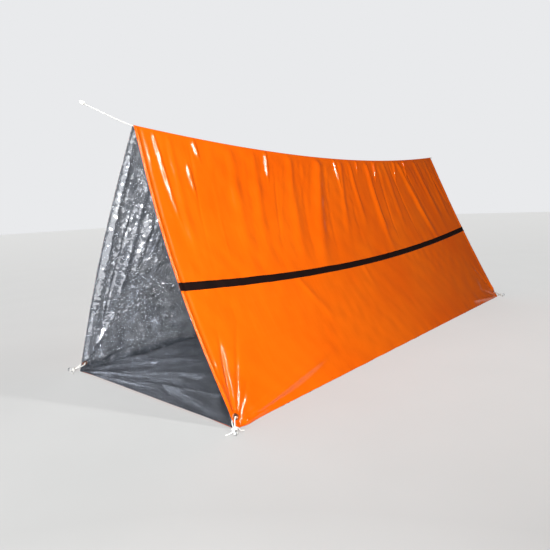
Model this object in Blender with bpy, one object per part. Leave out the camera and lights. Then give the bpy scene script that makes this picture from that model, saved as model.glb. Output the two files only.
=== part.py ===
"""Emergency tube tent, pitched for use.

One tube of plastic film, orange outside and silver inside, hangs over a ridge cord. Its bottom
corners have copper eyelets, and a white cord tie runs from each eyelet round a steel hook peg.

Metres, +Z up. X runs across the tent, Y along it with the photographed open end at -Y, and the
origin is on the ground under the middle of the floor.
"""

import math

import bpy
import bmesh
from mathutils import Matrix, Vector

for leftover in list(bpy.data.objects):
    bpy.data.objects.remove(leftover)


# Driving dimensions of the pitched tube
TUBE_LENGTH = 2.44
FLOOR_WIDTH = 0.94
APEX_HEIGHT = 0.952
RIDGE_SAG = 0.060
FRONT_APEX_SETBACK = 0.040
FILM_THICKNESS = 0.0012

# Distance that each wall hangs inwards of its straight line: front edge, half way, rear edge
RIGHT_BOWS = (0.045, 0.055, 0.012)
LEFT_BOWS = (-0.027, 0.035, 0.012)

# Folds of the film
FOLD_DEPTH = 0.017
FOLD_LEAN = 0.20
CORNER_FOLD_DEPTH = 0.014
CORNER_FOLD_REACH = 0.75
CORNER_FLAT_RADIUS = 0.10
FLOOR_WRINKLE_HEIGHT = 0.007
FLOOR_WRINKLE_REACH = 1.30

# Black band along each wall, and how far its middle lies down the film from the ridge fold
STRIPE_WIDTH = 0.030
STRIPE_THICKNESS = 0.0005
STRIPE_DROP_FRONT = 0.580
STRIPE_DROP_REAR = 0.549

# White cord of the ridge and the corner ties
CORD_DIAMETER = 0.004
FRONT_CORD_REACH = 0.185
FRONT_CORD_RISE = 0.056
FRONT_CORD_KNEE = 0.025
REAR_CORD_REACH = 0.020
WRAP_TURNS = 2.5

# Corner eyelets
EYELET_EDGE_DISTANCE = 0.016
EYELET_RISE = 0.034
EYELET_HOLE_DIAMETER = 0.011
EYELET_FLANGE_DIAMETER = 0.022
EYELET_METAL = 0.0006
EYELET_CROWN = 0.0012
EYELET_LIP = 0.0022
WASHER_THICKNESS = 0.0006

# Hook pegs
PEG_DIAMETER = 0.004
PEG_BURIED_LENGTH = 0.160
PEG_SHOULDER = 0.012
PEG_HOOK_RADIUS = 0.006
PEG_HOOK_END = 0.005
PEG_POINT_LENGTH = 0.014
PEG_LEAN = math.radians(10)
PEG_OFFSET = 0.034

# Corner ties
TIE_HEIGHT_AT_PEG = 0.0055
TIE_EYELET_TURN = 0.0065
TIE_FORWARD_PULL = 0.026
TIE_DOWNWARD_PULL = 0.010
TIE_PEG_PULL = 0.012
TIE_PEG_DROP = 0.006
TIE_TAIL_LENGTH = 0.024
TIE_WRAP_TURNS = 2.5

# Clearances
GAP = 0.0003
CORD_GAP = 0.0005
TIE_SLACK = 0.0012
TIE_BINDING_GAP = 0.0008
CUT_OVERRUN = 0.004

# Shares that shape the pegs, the ties and their tails
PEG_TIP_SHARE = 0.15
TIE_NECK_SHARE = 0.2
TAIL_BEND_SHARE = 1 / 6
TAIL_TOUCH_SHARE = 0.5
TAIL_HEIGHT_SHARE = 0.2

# Steps of the curved pieces, and the angle past which an edge stays sharp
RIDGE_CORD_STEPS = 60
FRONT_CORD_STEPS = 18
WRAP_STEPS_PER_TURN = 10
EYELET_SEGMENTS = 20
PEG_HOOK_STEPS = 8
TIE_LENGTH_STEPS = 60
TIE_ROUTE_STEPS = 2
SHARP_ANGLE = math.radians(40)

# Values worked out from the sizes above
CORD_RADIUS = CORD_DIAMETER / 2
PEG_RADIUS = PEG_DIAMETER / 2
PEG_TURN = PEG_RADIUS + CORD_RADIUS + TIE_SLACK
TIE_WAIST = CORD_RADIUS + CORD_GAP / 2
DIAGONAL_SHARE = math.sqrt(0.5)
EYELET_HOLE_RADIUS = EYELET_HOLE_DIAMETER / 2
EYELET_BARREL_RADIUS = EYELET_HOLE_RADIUS + EYELET_METAL
EYELET_FLANGE_RADIUS = EYELET_FLANGE_DIAMETER / 2
FILM_FACE = FILM_THICKNESS / 2 + GAP
FOLD_RADIUS = CORD_RADIUS + GAP + FILM_THICKNESS / 2
FRONT_Y = -TUBE_LENGTH / 2
REAR_Y = TUBE_LENGTH / 2
APEX_FRONT_Y = FRONT_Y + FRONT_APEX_SETBACK
RIGHT = 1
LEFT = -1
FRONT = -1
REAR = 1

# Shares of a wall's height where its mesh has a row, below and above the stripe
LOWER_ROW_SHARES = (0, 0.08, 0.18, 0.31)
UPPER_ROW_SHARES = (0.60, 0.75, 0.88, 0.965, 1)
RIDGE_ARC_SHARES = (0.5, 1)

# Folds that hang from the ridge, front to rear: place along the tube, depth and length, as shares
RIGHT_FOLD_SHARES = (
    (0.035, 0.80, 0.55),
    (0.105, 1.00, 0.75),
    (0.165, 0.50, 0.50),
    (0.225, 0.75, 0.80),
    (0.280, 0.95, 0.60),
    (0.335, 0.50, 0.85),
    (0.395, 0.80, 0.55),
    (0.450, 0.90, 0.90),
    (0.505, 0.60, 0.60),
    (0.560, 1.00, 0.80),
    (0.615, 0.70, 0.50),
    (0.670, 0.95, 0.70),
    (0.725, 0.60, 0.85),
    (0.780, 0.90, 0.55),
    (0.835, 0.55, 0.75),
    (0.895, 0.80, 0.60),
    (0.955, 0.50, 0.50),
)
LEFT_FOLD_SHARES = (
    (0.050, 0.60, 0.95),
    (0.115, 0.90, 0.95),
    (0.180, 0.50, 0.60),
    (0.245, 0.80, 0.75),
    (0.310, 0.60, 0.55),
    (0.370, 0.95, 0.80),
    (0.435, 0.55, 0.60),
    (0.495, 0.85, 0.85),
    (0.560, 0.60, 0.55),
    (0.625, 0.90, 0.75),
    (0.690, 0.50, 0.60),
    (0.755, 0.85, 0.80),
    (0.820, 0.60, 0.55),
    (0.885, 0.75, 0.70),
    (0.950, 0.50, 0.50),
)
VALLEY_SHARE = 0.5

# Folds that fan out from a corner: angle above the bottom edge as a share of a right angle
WALL_FAN_SHARES = (0.17, 0.46, 0.76)
FLOOR_FAN_SHARES = (0.12, 0.30, 0.50, 0.72)
FAN_WIDTH_SHARE = 0.075
FLOOR_COLUMNS = 18
FLOOR_ROWS = 48


def mix(start, end, share):
    """The value that lies a share of the way from start to end."""
    return start + (end - start) * share


def ease(share):
    """0 to 1 with a soft start and end, held at 0 before and at 1 after."""
    held = min(max(share, 0), 1)
    return held * held * (3 - 2 * held)


def linear_colour(hex_colour):
    """An sRGB hex colour as linear RGBA."""
    channels = [int(hex_colour[i : i + 2], 16) / 255 for i in (1, 3, 5)]
    return [c / 12.92 if c <= 0.04045 else ((c + 0.055) / 1.055) ** 2.4 for c in channels] + [1]


def make_material(name, hex_colour, roughness, metallic):
    """One Principled BSDF material."""
    material = bpy.data.materials.new(name)
    material.use_nodes = True
    shader = material.node_tree.nodes["Principled BSDF"]
    shader.inputs["Base Color"].default_value = linear_colour(hex_colour)
    shader.inputs["Roughness"].default_value = roughness
    shader.inputs["Metallic"].default_value = metallic
    return material


ORANGE_FILM = make_material("orange_film", "#F26A05", 0.28, 0)
SILVER_FILM = make_material("silver_film", "#B4B8BE", 0.22, 1)
BLACK_BAND = make_material("black_band", "#15120F", 0.62, 0)
WHITE_CORD = make_material("white_cord", "#E9E9E2", 0.78, 0)
COPPER_EYELET = make_material("copper_eyelet", "#C77B58", 0.30, 1)
STEEL_PEG = make_material("steel_peg", "#A9ABAD", 0.35, 1)


def place_mesh(name, mesh_builder, material, matrix=None):
    """Turns a bmesh into a named object, with its faces out, at its place."""
    bmesh.ops.recalc_face_normals(mesh_builder, faces=mesh_builder.faces[:])
    mesh = bpy.data.meshes.new(name)
    mesh_builder.to_mesh(mesh)
    mesh_builder.free()
    mesh.materials.append(material)
    mesh.shade_smooth()
    mesh.set_sharp_from_angle(angle=SHARP_ANGLE)
    piece = bpy.data.objects.new(name, mesh)
    bpy.context.scene.collection.objects.link(piece)
    if matrix is not None:
        piece.matrix_world = matrix
    return piece


def place_tube(name, points, radius, material, closed=False, radius_shares=None):
    """A round cord or wire along a route, as a curve with a bevel and filled ends."""
    curve = bpy.data.curves.new(name, "CURVE")
    curve.dimensions = "3D"
    curve.bevel_depth = radius
    curve.bevel_resolution = 2
    curve.use_fill_caps = True
    spline = curve.splines.new("POLY")
    spline.points.add(len(points) - 1)
    for index, point in enumerate(points):
        spline.points[index].co = (*point, 1)
        spline.points[index].radius = radius_shares[index] if radius_shares else 1
    spline.use_cyclic_u = closed
    curve.materials.append(material)
    piece = bpy.data.objects.new(name, curve)
    bpy.context.scene.collection.objects.link(piece)
    return piece


def smooth_route(knots, steps, closed=False):
    """A smooth curve through the given points, with so many steps between each two of them."""
    count = len(knots)
    spans = count if closed else count - 1
    route = []
    for span in range(spans):
        if closed:
            before, start, end, after = (knots[(span + k) % count] for k in (-1, 0, 1, 2))
        else:
            start, end = knots[span], knots[span + 1]
            before = knots[span - 1] if span else start * 2 - end
            after = knots[span + 2] if span + 2 < count else end * 2 - start
        for step in range(steps):
            t = step / steps
            pull = (end - before) * t + (before * 2 - start * 5 + end * 4 - after) * t**2
            bend = (start * 3 - before - end * 3 + after) * t**3
            route.append(start + (pull + bend) / 2)
    if not closed:
        route.append(knots[-1])
    return route


def film_solid(outer, inner):
    """A closed sheet between two matching grids of points, each a list of rows."""
    builder = bmesh.new()
    last_row = len(outer) - 1
    last_column = len(outer[0]) - 1
    skins = [[[builder.verts.new(point) for point in row] for row in skin] for skin in (outer, inner)]
    for skin in skins:
        for row in range(last_row):
            for column in range(last_column):
                near_low = skin[row][column]
                far_low = skin[row][column + 1]
                near_high = skin[row + 1][column]
                far_high = skin[row + 1][column + 1]
                builder.faces.new((near_low, far_low, far_high))
                builder.faces.new((near_low, far_high, near_high))
    rim = [(0, column) for column in range(last_column)]
    rim += [(row, last_column) for row in range(last_row)]
    rim += [(last_row, column) for column in range(last_column, 0, -1)]
    rim += [(row, 0) for row in range(last_row, 0, -1)]
    for index, (row, column) in enumerate(rim):
        next_row, next_column = rim[(index + 1) % len(rim)]
        builder.faces.new(
            (
                skins[0][row][column],
                skins[0][next_row][next_column],
                skins[1][next_row][next_column],
                skins[1][row][column],
            )
        )
    return builder


# Shape of the pitched film


def ridge_top(along):
    """Height of the ridge fold's outside at a share of the tube's length."""
    return APEX_HEIGHT - RIDGE_SAG * 4 * along * (1 - along)


def ridge_y(along):
    """Place of the ridge at a share of its length, which starts behind the floor's front edge."""
    return mix(APEX_FRONT_Y, REAR_Y, along)


def cord_centre(along):
    """Centre of the ridge cord, which fills the fold of the film."""
    return Vector((0, ridge_y(along), ridge_top(along) - FILM_THICKNESS - GAP - CORD_RADIUS))


def bow_at(bows, along):
    """Inward hang of a wall: a parabola through its front, middle and rear values."""
    front, middle, rear = bows
    near_front = front * (1 - along) * (1 - 2 * along)
    near_middle = middle * 4 * along * (1 - along)
    near_rear = rear * along * (2 * along - 1)
    return near_front + near_middle + near_rear


def fan_relief(corner_distance, rise, fan_shares, reach):
    """Height share of the folds that fan out from a corner of the film."""
    radius = math.hypot(corner_distance, rise)
    if radius < CORNER_FLAT_RADIUS:
        return 0
    angle_share = math.atan2(rise, corner_distance) / math.radians(90)
    ridges = sum(math.exp(-(((angle_share - ray) / FAN_WIDTH_SHARE) ** 2)) for ray in fan_shares)
    growth = ease((radius - CORNER_FLAT_RADIUS) / CORNER_FLAT_RADIUS)
    return ridges * growth * (1 - ease(radius / reach))


def fold_columns(fold_shares):
    """Mesh columns of a wall: each hanging fold's crest, and the valleys beside it.

    A column is its place along the ridge, its relief share and the share of the wall it runs down.
    """
    columns = [(0, 0, 1)]
    for index, (place, depth, reach) in enumerate(fold_shares):
        if index:
            last_place, last_depth, last_reach = fold_shares[index - 1]
            valley = -VALLEY_SHARE * (depth + last_depth) / 2
            columns.append(((place + last_place) / 2, valley, (reach + last_reach) / 2))
        columns.append((place, depth, reach))
    columns.append((1, 0, 1))
    return columns


class Wall:
    """One sloping side of the tube, with points given by share along, share up and offset."""

    def __init__(self, side, bows, fold_shares):
        self.side = side
        self.bows = bows
        self.columns = fold_columns(fold_shares)

    def frame(self, along):
        """Foot, tangent point on the ridge fold and outward direction, in the X-Z plane."""
        fold_centre = cord_centre(along)
        foot_x = FLOOR_WIDTH / 2 - FILM_THICKNESS / 2
        foot_z = FILM_THICKNESS + GAP + FILM_THICKNESS / 2
        slope = Vector((-foot_x, 0, fold_centre.z - foot_z))
        outward = Vector((slope.z, 0, -slope.x)).normalized()
        foot = Vector((foot_x, mix(FRONT_Y, REAR_Y, along), foot_z))
        tangent_point = fold_centre + outward * FOLD_RADIUS
        return foot, tangent_point, outward

    def height(self, along):
        """Straight distance up the wall, from its foot to the ridge fold."""
        foot, tangent_point, _ = self.frame(along)
        return (tangent_point - foot).length

    def stripe_shares(self, along):
        """Lower and upper edge of the black band, as shares of the wall's height."""
        height = self.height(along)
        middle = height - mix(STRIPE_DROP_FRONT, STRIPE_DROP_REAR, along)
        return (middle - STRIPE_WIDTH / 2) / height, (middle + STRIPE_WIDTH / 2) / height

    def relief(self, column, along, up):
        """Outward displacement of the folds at a point of the wall."""
        _, depth, reach = self.columns[column]
        down = 1 - up
        start_share = 1 - UPPER_ROW_SHARES[-2]
        hanging = depth * ease(down / start_share) * (1 - ease(down / reach))
        rise = up * self.height(along)
        front_distance = along * TUBE_LENGTH
        rear_distance = TUBE_LENGTH - front_distance
        fans = fan_relief(front_distance, rise, WALL_FAN_SHARES, CORNER_FOLD_REACH)
        fans += fan_relief(rear_distance, rise, WALL_FAN_SHARES, CORNER_FOLD_REACH)
        return FOLD_DEPTH * hanging + CORNER_FOLD_DEPTH * fans

    def point(self, column, up, offset):
        """A point of the wall, offset outwards from the middle of the film."""
        place = self.columns[column][0]
        lean_share = FOLD_LEAN / TUBE_LENGTH
        along = place - lean_share * math.sin(math.pi * place) * (1 - up)
        foot, tangent_point, outward = self.frame(along)
        hang = bow_at(self.bows, along) * math.sin(math.pi * up)
        spot = mix(foot, tangent_point, up) + outward * (self.relief(column, along, up) - hang + offset)
        return Vector((self.side * spot.x, spot.y, spot.z))

    def ridge_point(self, column, turn_share, offset):
        """A point of this wall's half of the ridge fold, which ends GAP short of the other half."""
        along = self.columns[column][0]
        fold_centre = cord_centre(along)
        _, _, outward = self.frame(along)
        angle = mix(math.atan2(outward.z, outward.x), math.pi / 2, turn_share)
        reach = FOLD_RADIUS + offset
        across = max(math.cos(angle) * reach, GAP / 2)
        return Vector((self.side * across, fold_centre.y, fold_centre.z + math.sin(angle) * reach))

    def grid(self, offset):
        """Rows of points from the floor to the top of the ridge fold."""
        rows = []
        count = len(self.columns)
        for share in LOWER_ROW_SHARES:
            rows.append([self.point(column, share, offset) for column in range(count)])
        for edge in (0, 1):
            rows.append(self.stripe_row(edge, offset))
        for share in UPPER_ROW_SHARES:
            rows.append([self.point(column, share, offset) for column in range(count)])
        for share in RIDGE_ARC_SHARES:
            rows.append([self.ridge_point(column, share, offset) for column in range(count)])
        return rows

    def stripe_row(self, edge, offset):
        """Points along the lower (0) or upper (1) edge of the black band."""
        row = []
        for column, (place, _, _) in enumerate(self.columns):
            row.append(self.point(column, self.stripe_shares(place)[edge], offset))
        return row

    def corner_seat(self, end):
        """The eyelet's seat on the facet at the corner's edge: a matrix whose Z points outwards.

        The film's diagonals rise towards the rear, so the facet's third point is the inner
        column's upper one at the front and its lower one at the rear.
        """
        low_row, high_row = LOWER_ROW_SHARES[:2]
        edge, inner, inner_row = (0, 1, high_row) if end == FRONT else (-1, -2, low_row)
        turn = -end * self.side
        corner = self.point(edge, low_row, 0)
        upwards = (self.point(edge, high_row, 0) - corner).normalized()
        normal = (self.point(inner, inner_row, 0) - corner).cross(upwards).normalized() * turn
        across = upwards.cross(normal)
        centre = corner + across * (turn * EYELET_EDGE_DISTANCE) + upwards * EYELET_RISE
        axes = Matrix((across, upwards, normal)).transposed().to_4x4()
        return Matrix.Translation(centre) @ axes


RIGHT_WALL = Wall(RIGHT, RIGHT_BOWS, RIGHT_FOLD_SHARES)
LEFT_WALL = Wall(LEFT, LEFT_BOWS, LEFT_FOLD_SHARES)


# Film panels of the tube: two walls with half the ridge fold each, and the floor


def cut_eyelet_hole(wall_piece, seat, name):
    """Cuts the hole for an eyelet's barrel through the film."""
    builder = bmesh.new()
    bmesh.ops.create_cone(
        builder,
        cap_ends=True,
        segments=EYELET_SEGMENTS,
        radius1=EYELET_BARREL_RADIUS + GAP,
        radius2=EYELET_BARREL_RADIUS + GAP,
        depth=FILM_THICKNESS + CUT_OVERRUN,
    )
    cutter = place_mesh(name, builder, SILVER_FILM, seat)
    cutter.hide_render = True
    cutter.display_type = "WIRE"
    cut = wall_piece.modifiers.new(name, "BOOLEAN")
    cut.operation = "DIFFERENCE"
    cut.object = cutter


def make_film_wall(name, wall):
    """A wall with its half of the ridge fold, and a hole for the eyelet at each bottom corner."""
    outer = wall.grid(FILM_THICKNESS / 2)
    inner = wall.grid(-FILM_THICKNESS / 2)
    piece = place_mesh(name, film_solid(outer, inner), ORANGE_FILM)
    for end, end_name in ((FRONT, "front"), (REAR, "rear")):
        cut_eyelet_hole(piece, wall.corner_seat(end), f"{name}_{end_name}_hole")


def floor_wrinkle(x, y):
    """Height of the floor's wrinkles over its flat underside: fans from all four corners."""
    side_distance = (FLOOR_WIDTH / 2 - abs(x), TUBE_LENGTH / 2 - abs(y))
    edge_fade = ease(side_distance[0] / CORNER_FLAT_RADIUS) * ease(side_distance[1] / CORNER_FLAT_RADIUS)
    height = 0
    for side in (LEFT, RIGHT):
        for end in (FRONT, REAR):
            across = abs(side * FLOOR_WIDTH / 2 - x)
            along = abs(end * TUBE_LENGTH / 2 - y)
            height += fan_relief(along, across, FLOOR_FAN_SHARES, FLOOR_WRINKLE_REACH)
    return FLOOR_WRINKLE_HEIGHT * height * edge_fade


def make_film_floor(name):
    """The floor panel: flat underneath, wrinkled on top, one strip of faces for each row below."""
    builder = bmesh.new()
    top = []
    for row in range(FLOOR_ROWS + 1):
        y = mix(FRONT_Y, REAR_Y, row / FLOOR_ROWS)
        line = []
        for column in range(FLOOR_COLUMNS + 1):
            x = mix(-FLOOR_WIDTH / 2, FLOOR_WIDTH / 2, column / FLOOR_COLUMNS)
            line.append(builder.verts.new((x, y, FILM_THICKNESS + floor_wrinkle(x, y))))
        top.append(line)
    for near, far in zip(top, top[1:]):
        for column in range(FLOOR_COLUMNS):
            builder.faces.new((near[column], near[column + 1], far[column + 1], far[column]))
    rim_edges = [edge for edge in builder.edges if edge.is_boundary]
    skirt = bmesh.ops.extrude_edge_only(builder, edges=rim_edges)["geom"]
    for item in skirt:
        if isinstance(item, bmesh.types.BMVert):
            item.co.z = 0
    open_edges = [edge for edge in builder.edges if edge.is_boundary]
    underside = bmesh.ops.contextual_create(builder, geom=open_edges)["faces"]
    bmesh.ops.triangulate(builder, faces=underside, ngon_method="BEAUTY")
    place_mesh(name, builder, SILVER_FILM)


make_film_wall("film_right_wall", RIGHT_WALL)
make_film_wall("film_left_wall", LEFT_WALL)
make_film_floor("film_floor")


# Black bands, one on each wall, lying on the film and following its folds


def make_stripe(name, wall):
    """A thin band between the two mesh rows that mark its edges on the wall."""
    skins = []
    for offset in (FILM_FACE + STRIPE_THICKNESS, FILM_FACE):
        skins.append([wall.stripe_row(edge, offset) for edge in (0, 1)])
    place_mesh(name, film_solid(*skins), BLACK_BAND)


make_stripe("stripe_right", RIGHT_WALL)
make_stripe("stripe_left", LEFT_WALL)


# Ridge cord: held in the fold of the film, with a free end at the front and knots at both ends


def ridge_cord_route():
    """The cord through the whole ridge fold and out to its rear end."""
    route = [cord_centre(step / RIDGE_CORD_STEPS) for step in range(RIDGE_CORD_STEPS + 1)]
    last_step = route[-1] - route[-2]
    return route + [route[-1] + last_step.normalized() * REAR_CORD_REACH]


def front_cord_route():
    """The free front end: it leaves along the ridge and curves up to its knot."""
    start = cord_centre(0)
    slope = (cord_centre(0) - cord_centre(1 / RIDGE_CORD_STEPS)).normalized()
    end = start + Vector((0, -FRONT_CORD_REACH, FRONT_CORD_RISE))
    knee = start + slope * FRONT_CORD_KNEE
    start += slope * GAP
    route = []
    for step in range(FRONT_CORD_STEPS + 1):
        t = step / FRONT_CORD_STEPS
        route.append(start * (1 - t) ** 2 + knee * 2 * t * (1 - t) + end * t**2)
    return route


def wrap_route(centre, axis, half_width, half_height, turns, width_direction):
    """Turns of cord round a core: an even helix on an oval, one cord and a gap apart."""
    height_direction = axis.cross(width_direction).normalized()
    steps = round(turns * WRAP_STEPS_PER_TURN)
    pitch = CORD_DIAMETER + CORD_GAP
    route = []
    for step in range(steps + 1):
        turn = step / WRAP_STEPS_PER_TURN
        angle = 2 * math.pi * turn
        across = width_direction * (math.cos(angle) * half_width)
        over = height_direction * (math.sin(angle) * half_height)
        route.append(centre + across + over + axis * (pitch * (turn - turns / 2)))
    return route


def make_end_knot(name, end, direction):
    """A stopper: turns of cord drawn tight round the cord's own end."""
    radius = CORD_DIAMETER + CORD_GAP
    length = (CORD_DIAMETER + CORD_GAP) * WRAP_TURNS
    centre = end - direction * ((length + CORD_DIAMETER) / 2)
    across = Vector((1, 0, 0))
    route = wrap_route(centre, direction, radius, radius, WRAP_TURNS, across)
    place_tube(name, route, CORD_RADIUS, WHITE_CORD)


RIDGE_CORD_ROUTE = ridge_cord_route()
FRONT_CORD_ROUTE = front_cord_route()
place_tube("ridge_cord", RIDGE_CORD_ROUTE, CORD_RADIUS, WHITE_CORD)
place_tube("ridge_cord_front_end", FRONT_CORD_ROUTE, CORD_RADIUS, WHITE_CORD)
for knot_name, knot_route in (
    ("front_end_knot", FRONT_CORD_ROUTE),
    ("rear_end_knot", RIDGE_CORD_ROUTE),
):
    make_end_knot(knot_name, knot_route[-1], (knot_route[-1] - knot_route[-2]).normalized())


# Corner eyelets: a flanged barrel through the film, turned over a washer on the inside


def spin_profile(points):
    """A closed outline of (radius, height) pairs turned about Z."""
    builder = bmesh.new()
    outline = [builder.verts.new((radius, 0, height)) for radius, height in points]
    for start, end in zip(outline, outline[1:] + outline[:1]):
        builder.edges.new((start, end))
    bmesh.ops.spin(
        builder,
        geom=builder.verts[:] + builder.edges[:],
        cent=(0, 0, 0),
        axis=(0, 0, 1),
        angle=math.radians(360),
        steps=EYELET_SEGMENTS,
        use_merge=True,
    )
    return builder


def make_eyelet(name, seat):
    """Flange and crown outside, barrel through the film, and a lip rolled over the washer."""
    crown = FILM_FACE + EYELET_CROWN
    washer_face = -(FILM_FACE + WASHER_THICKNESS + GAP)
    lip_end = washer_face - EYELET_METAL
    lip_radius = EYELET_BARREL_RADIUS + EYELET_LIP
    points = (
        (EYELET_HOLE_RADIUS, lip_end),
        (EYELET_HOLE_RADIUS, FILM_FACE + EYELET_METAL),
        (EYELET_BARREL_RADIUS, crown),
        (EYELET_FLANGE_RADIUS - EYELET_METAL, crown),
        (EYELET_FLANGE_RADIUS, FILM_FACE + EYELET_METAL),
        (EYELET_FLANGE_RADIUS, FILM_FACE),
        (EYELET_BARREL_RADIUS, FILM_FACE),
        (EYELET_BARREL_RADIUS, washer_face),
        (lip_radius, washer_face),
        (lip_radius, lip_end),
    )
    place_mesh(name, spin_profile(points), COPPER_EYELET, seat)


def make_washer(name, seat):
    """A flat ring on the inside of the film, round the eyelet's barrel."""
    bore = EYELET_BARREL_RADIUS + GAP
    far_face = -FILM_FACE - WASHER_THICKNESS
    points = (
        (bore, -FILM_FACE),
        (EYELET_FLANGE_RADIUS, -FILM_FACE),
        (EYELET_FLANGE_RADIUS, far_face),
        (bore, far_face),
    )
    place_mesh(name, spin_profile(points), COPPER_EYELET, seat)


# Hook pegs: round steel wire with a point and a hook turned away from the tent


def outward_angle(side, end):
    """Direction away from the tent at a corner, half way between across and along."""
    return math.atan2(end, side)


def outward_direction(side, end):
    """The same direction as a level unit vector."""
    angle = outward_angle(side, end)
    return Vector((math.cos(angle), math.sin(angle), 0))


def floor_corner(side, end):
    """A corner of the floor on the ground."""
    return Vector((side * FLOOR_WIDTH / 2, end * TUBE_LENGTH / 2, 0))


def peg_place(side, end):
    """Where a peg's axis meets the ground."""
    return floor_corner(side, end) + outward_direction(side, end) * PEG_OFFSET


def make_peg(name, side, end):
    """A peg on its own axis: Z up the shaft, +X the way that the hook turns."""
    point_start = PEG_POINT_LENGTH - PEG_BURIED_LENGTH
    route = [Vector((0, 0, height)) for height in (-PEG_BURIED_LENGTH, point_start, PEG_SHOULDER)]
    for step in range(1, PEG_HOOK_STEPS + 1):
        angle = math.pi * step / PEG_HOOK_STEPS
        across = PEG_HOOK_RADIUS * (1 - math.cos(angle))
        route.append(Vector((across, 0, PEG_SHOULDER + PEG_HOOK_RADIUS * math.sin(angle))))
    route.append(Vector((2 * PEG_HOOK_RADIUS, 0, PEG_SHOULDER - PEG_HOOK_END)))
    radius_shares = [PEG_TIP_SHARE] + [1] * (len(route) - 1)
    peg = place_tube(name, route, PEG_RADIUS, STEEL_PEG, radius_shares=radius_shares)
    turn = Matrix.Rotation(outward_angle(side, end), 3, "Z") @ Matrix.Rotation(PEG_LEAN, 3, "Y")
    peg.location = peg_place(side, end)
    peg.rotation_euler = turn.to_euler()


# Corner ties: a loop of cord through the eyelet and round the peg, bound by turns of its own ends


class CornerTie:
    """The middle line of a tie's loop, from its eyelet's centre to the far side of its peg."""

    def __init__(self, side, end, seat):
        outward = outward_direction(side, end)
        lean = Vector((0, 0, 1)) + outward * math.tan(PEG_LEAN)
        forward = Vector((0, end, 0))
        down = seat.to_3x3() @ Vector((0, -1, 0))
        peg = peg_place(side, end) + lean * TIE_HEIGHT_AT_PEG
        self.normal = seat.to_3x3() @ Vector((0, 0, 1))
        self.eyelet = seat.translation
        self.first_pull = self.eyelet + forward * TIE_FORWARD_PULL + down * TIE_DOWNWARD_PULL
        self.last_pull = peg - outward * TIE_PEG_PULL + Vector((0, 0, TIE_PEG_DROP))
        self.far = peg + outward * PEG_TURN
        marks = [self.spot(step / TIE_LENGTH_STEPS) for step in range(TIE_LENGTH_STEPS + 1)]
        self.travelled = [0]
        for before, after in zip(marks, marks[1:]):
            self.travelled.append(self.travelled[-1] + (after - before).length)
        self.length = self.travelled[-1]

    def share_at(self, distance):
        """The curve's own share where it has run that far."""
        step = sum(travelled < distance for travelled in self.travelled[1:-1])
        start, end = self.travelled[step], self.travelled[step + 1]
        return (step + (distance - start) / (end - start)) / TIE_LENGTH_STEPS

    def spot(self, share):
        """A point of the curve at its own share."""
        rest = 1 - share
        near = self.eyelet * rest**3 + self.first_pull * 3 * rest**2 * share
        return near + self.last_pull * 3 * rest * share**2 + self.far * share**3

    def frame_at(self, distance):
        """Place, heading and the direction in which the loop's two strands lie apart."""
        share = self.share_at(distance)
        rest = 1 - share
        heading = (self.first_pull - self.eyelet) * rest**2
        heading += (self.last_pull - self.first_pull) * 2 * rest * share
        heading += (self.far - self.last_pull) * share**2
        heading.normalize()
        level = heading.cross(Vector((0, 0, 1))).normalized()
        if level.dot(self.normal) < 0:
            level = -level
        spread = mix(self.normal, level, ease(share))
        spread = (spread - heading * spread.dot(heading)).normalized()
        return self.spot(share), heading, spread


def tie_outline(tie, wrap_start, wrap_end):
    """Half of the loop: distance along its middle line and half the spread of its strands."""
    return (
        (0, 0),
        (TIE_EYELET_TURN * (1 - DIAGONAL_SHARE), TIE_EYELET_TURN * DIAGONAL_SHARE),
        (TIE_EYELET_TURN, TIE_EYELET_TURN),
        (EYELET_EDGE_DISTANCE + CORD_DIAMETER, mix(TIE_EYELET_TURN, TIE_WAIST, TIE_NECK_SHARE)),
        (wrap_start, TIE_WAIST),
        (wrap_end, TIE_WAIST),
        (tie.length - PEG_TURN, PEG_TURN),
        (tie.length - PEG_TURN * (1 - DIAGONAL_SHARE), PEG_TURN * DIAGONAL_SHARE),
        (tie.length, 0),
    )


def tail_route(start, spread, droop):
    """A short free end: down from the binding, then out along the ground."""
    ground = CORD_RADIUS + GAP
    bend = start + spread * (TIE_TAIL_LENGTH * TAIL_BEND_SHARE) - droop * CORD_RADIUS
    touch = start + spread * (TIE_TAIL_LENGTH * TAIL_TOUCH_SHARE)
    tip = start + spread * TIE_TAIL_LENGTH + droop.cross(spread) * CORD_RADIUS
    touch.z = mix(ground, start.z, TAIL_HEIGHT_SHARE)
    tip.z = ground
    return [start, bend, touch, tip]


def make_corner_tie(name, tie, wrap_start, wrap_end):
    """The closed loop: out along one strand, round the peg, and back along the other."""
    there = []
    back = []
    for distance, half_spread in tie_outline(tie, wrap_start, wrap_end):
        spot, _, spread = tie.frame_at(distance)
        there.append(spot + spread * half_spread)
        back.append(spot - spread * half_spread)
    route = smooth_route(there + back[-2:0:-1], TIE_ROUTE_STEPS, closed=True)
    place_tube(name, route, CORD_RADIUS, WHITE_CORD, closed=True)


def make_tie_knot(name, tie, wrap_start, wrap_end):
    """Turns of cord round both strands, with the two free ends spread on the ground."""
    spot, heading, spread = tie.frame_at((wrap_start + wrap_end) / 2)
    if heading.cross(spread).z < 0:
        spread = -spread
    half_height = CORD_DIAMETER + TIE_BINDING_GAP
    half_width = TIE_WAIST + half_height
    turns = wrap_route(spot, heading, half_width, half_height, TIE_WRAP_TURNS, spread)
    rise = heading.cross(spread).normalized()
    first_tail = smooth_route(tail_route(turns[0], spread, rise), TIE_ROUTE_STEPS)
    last_tail = smooth_route(tail_route(turns[-1], -spread, rise), TIE_ROUTE_STEPS)
    place_tube(name, first_tail[:0:-1] + turns + last_tail[1:], CORD_RADIUS, WHITE_CORD)


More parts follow.
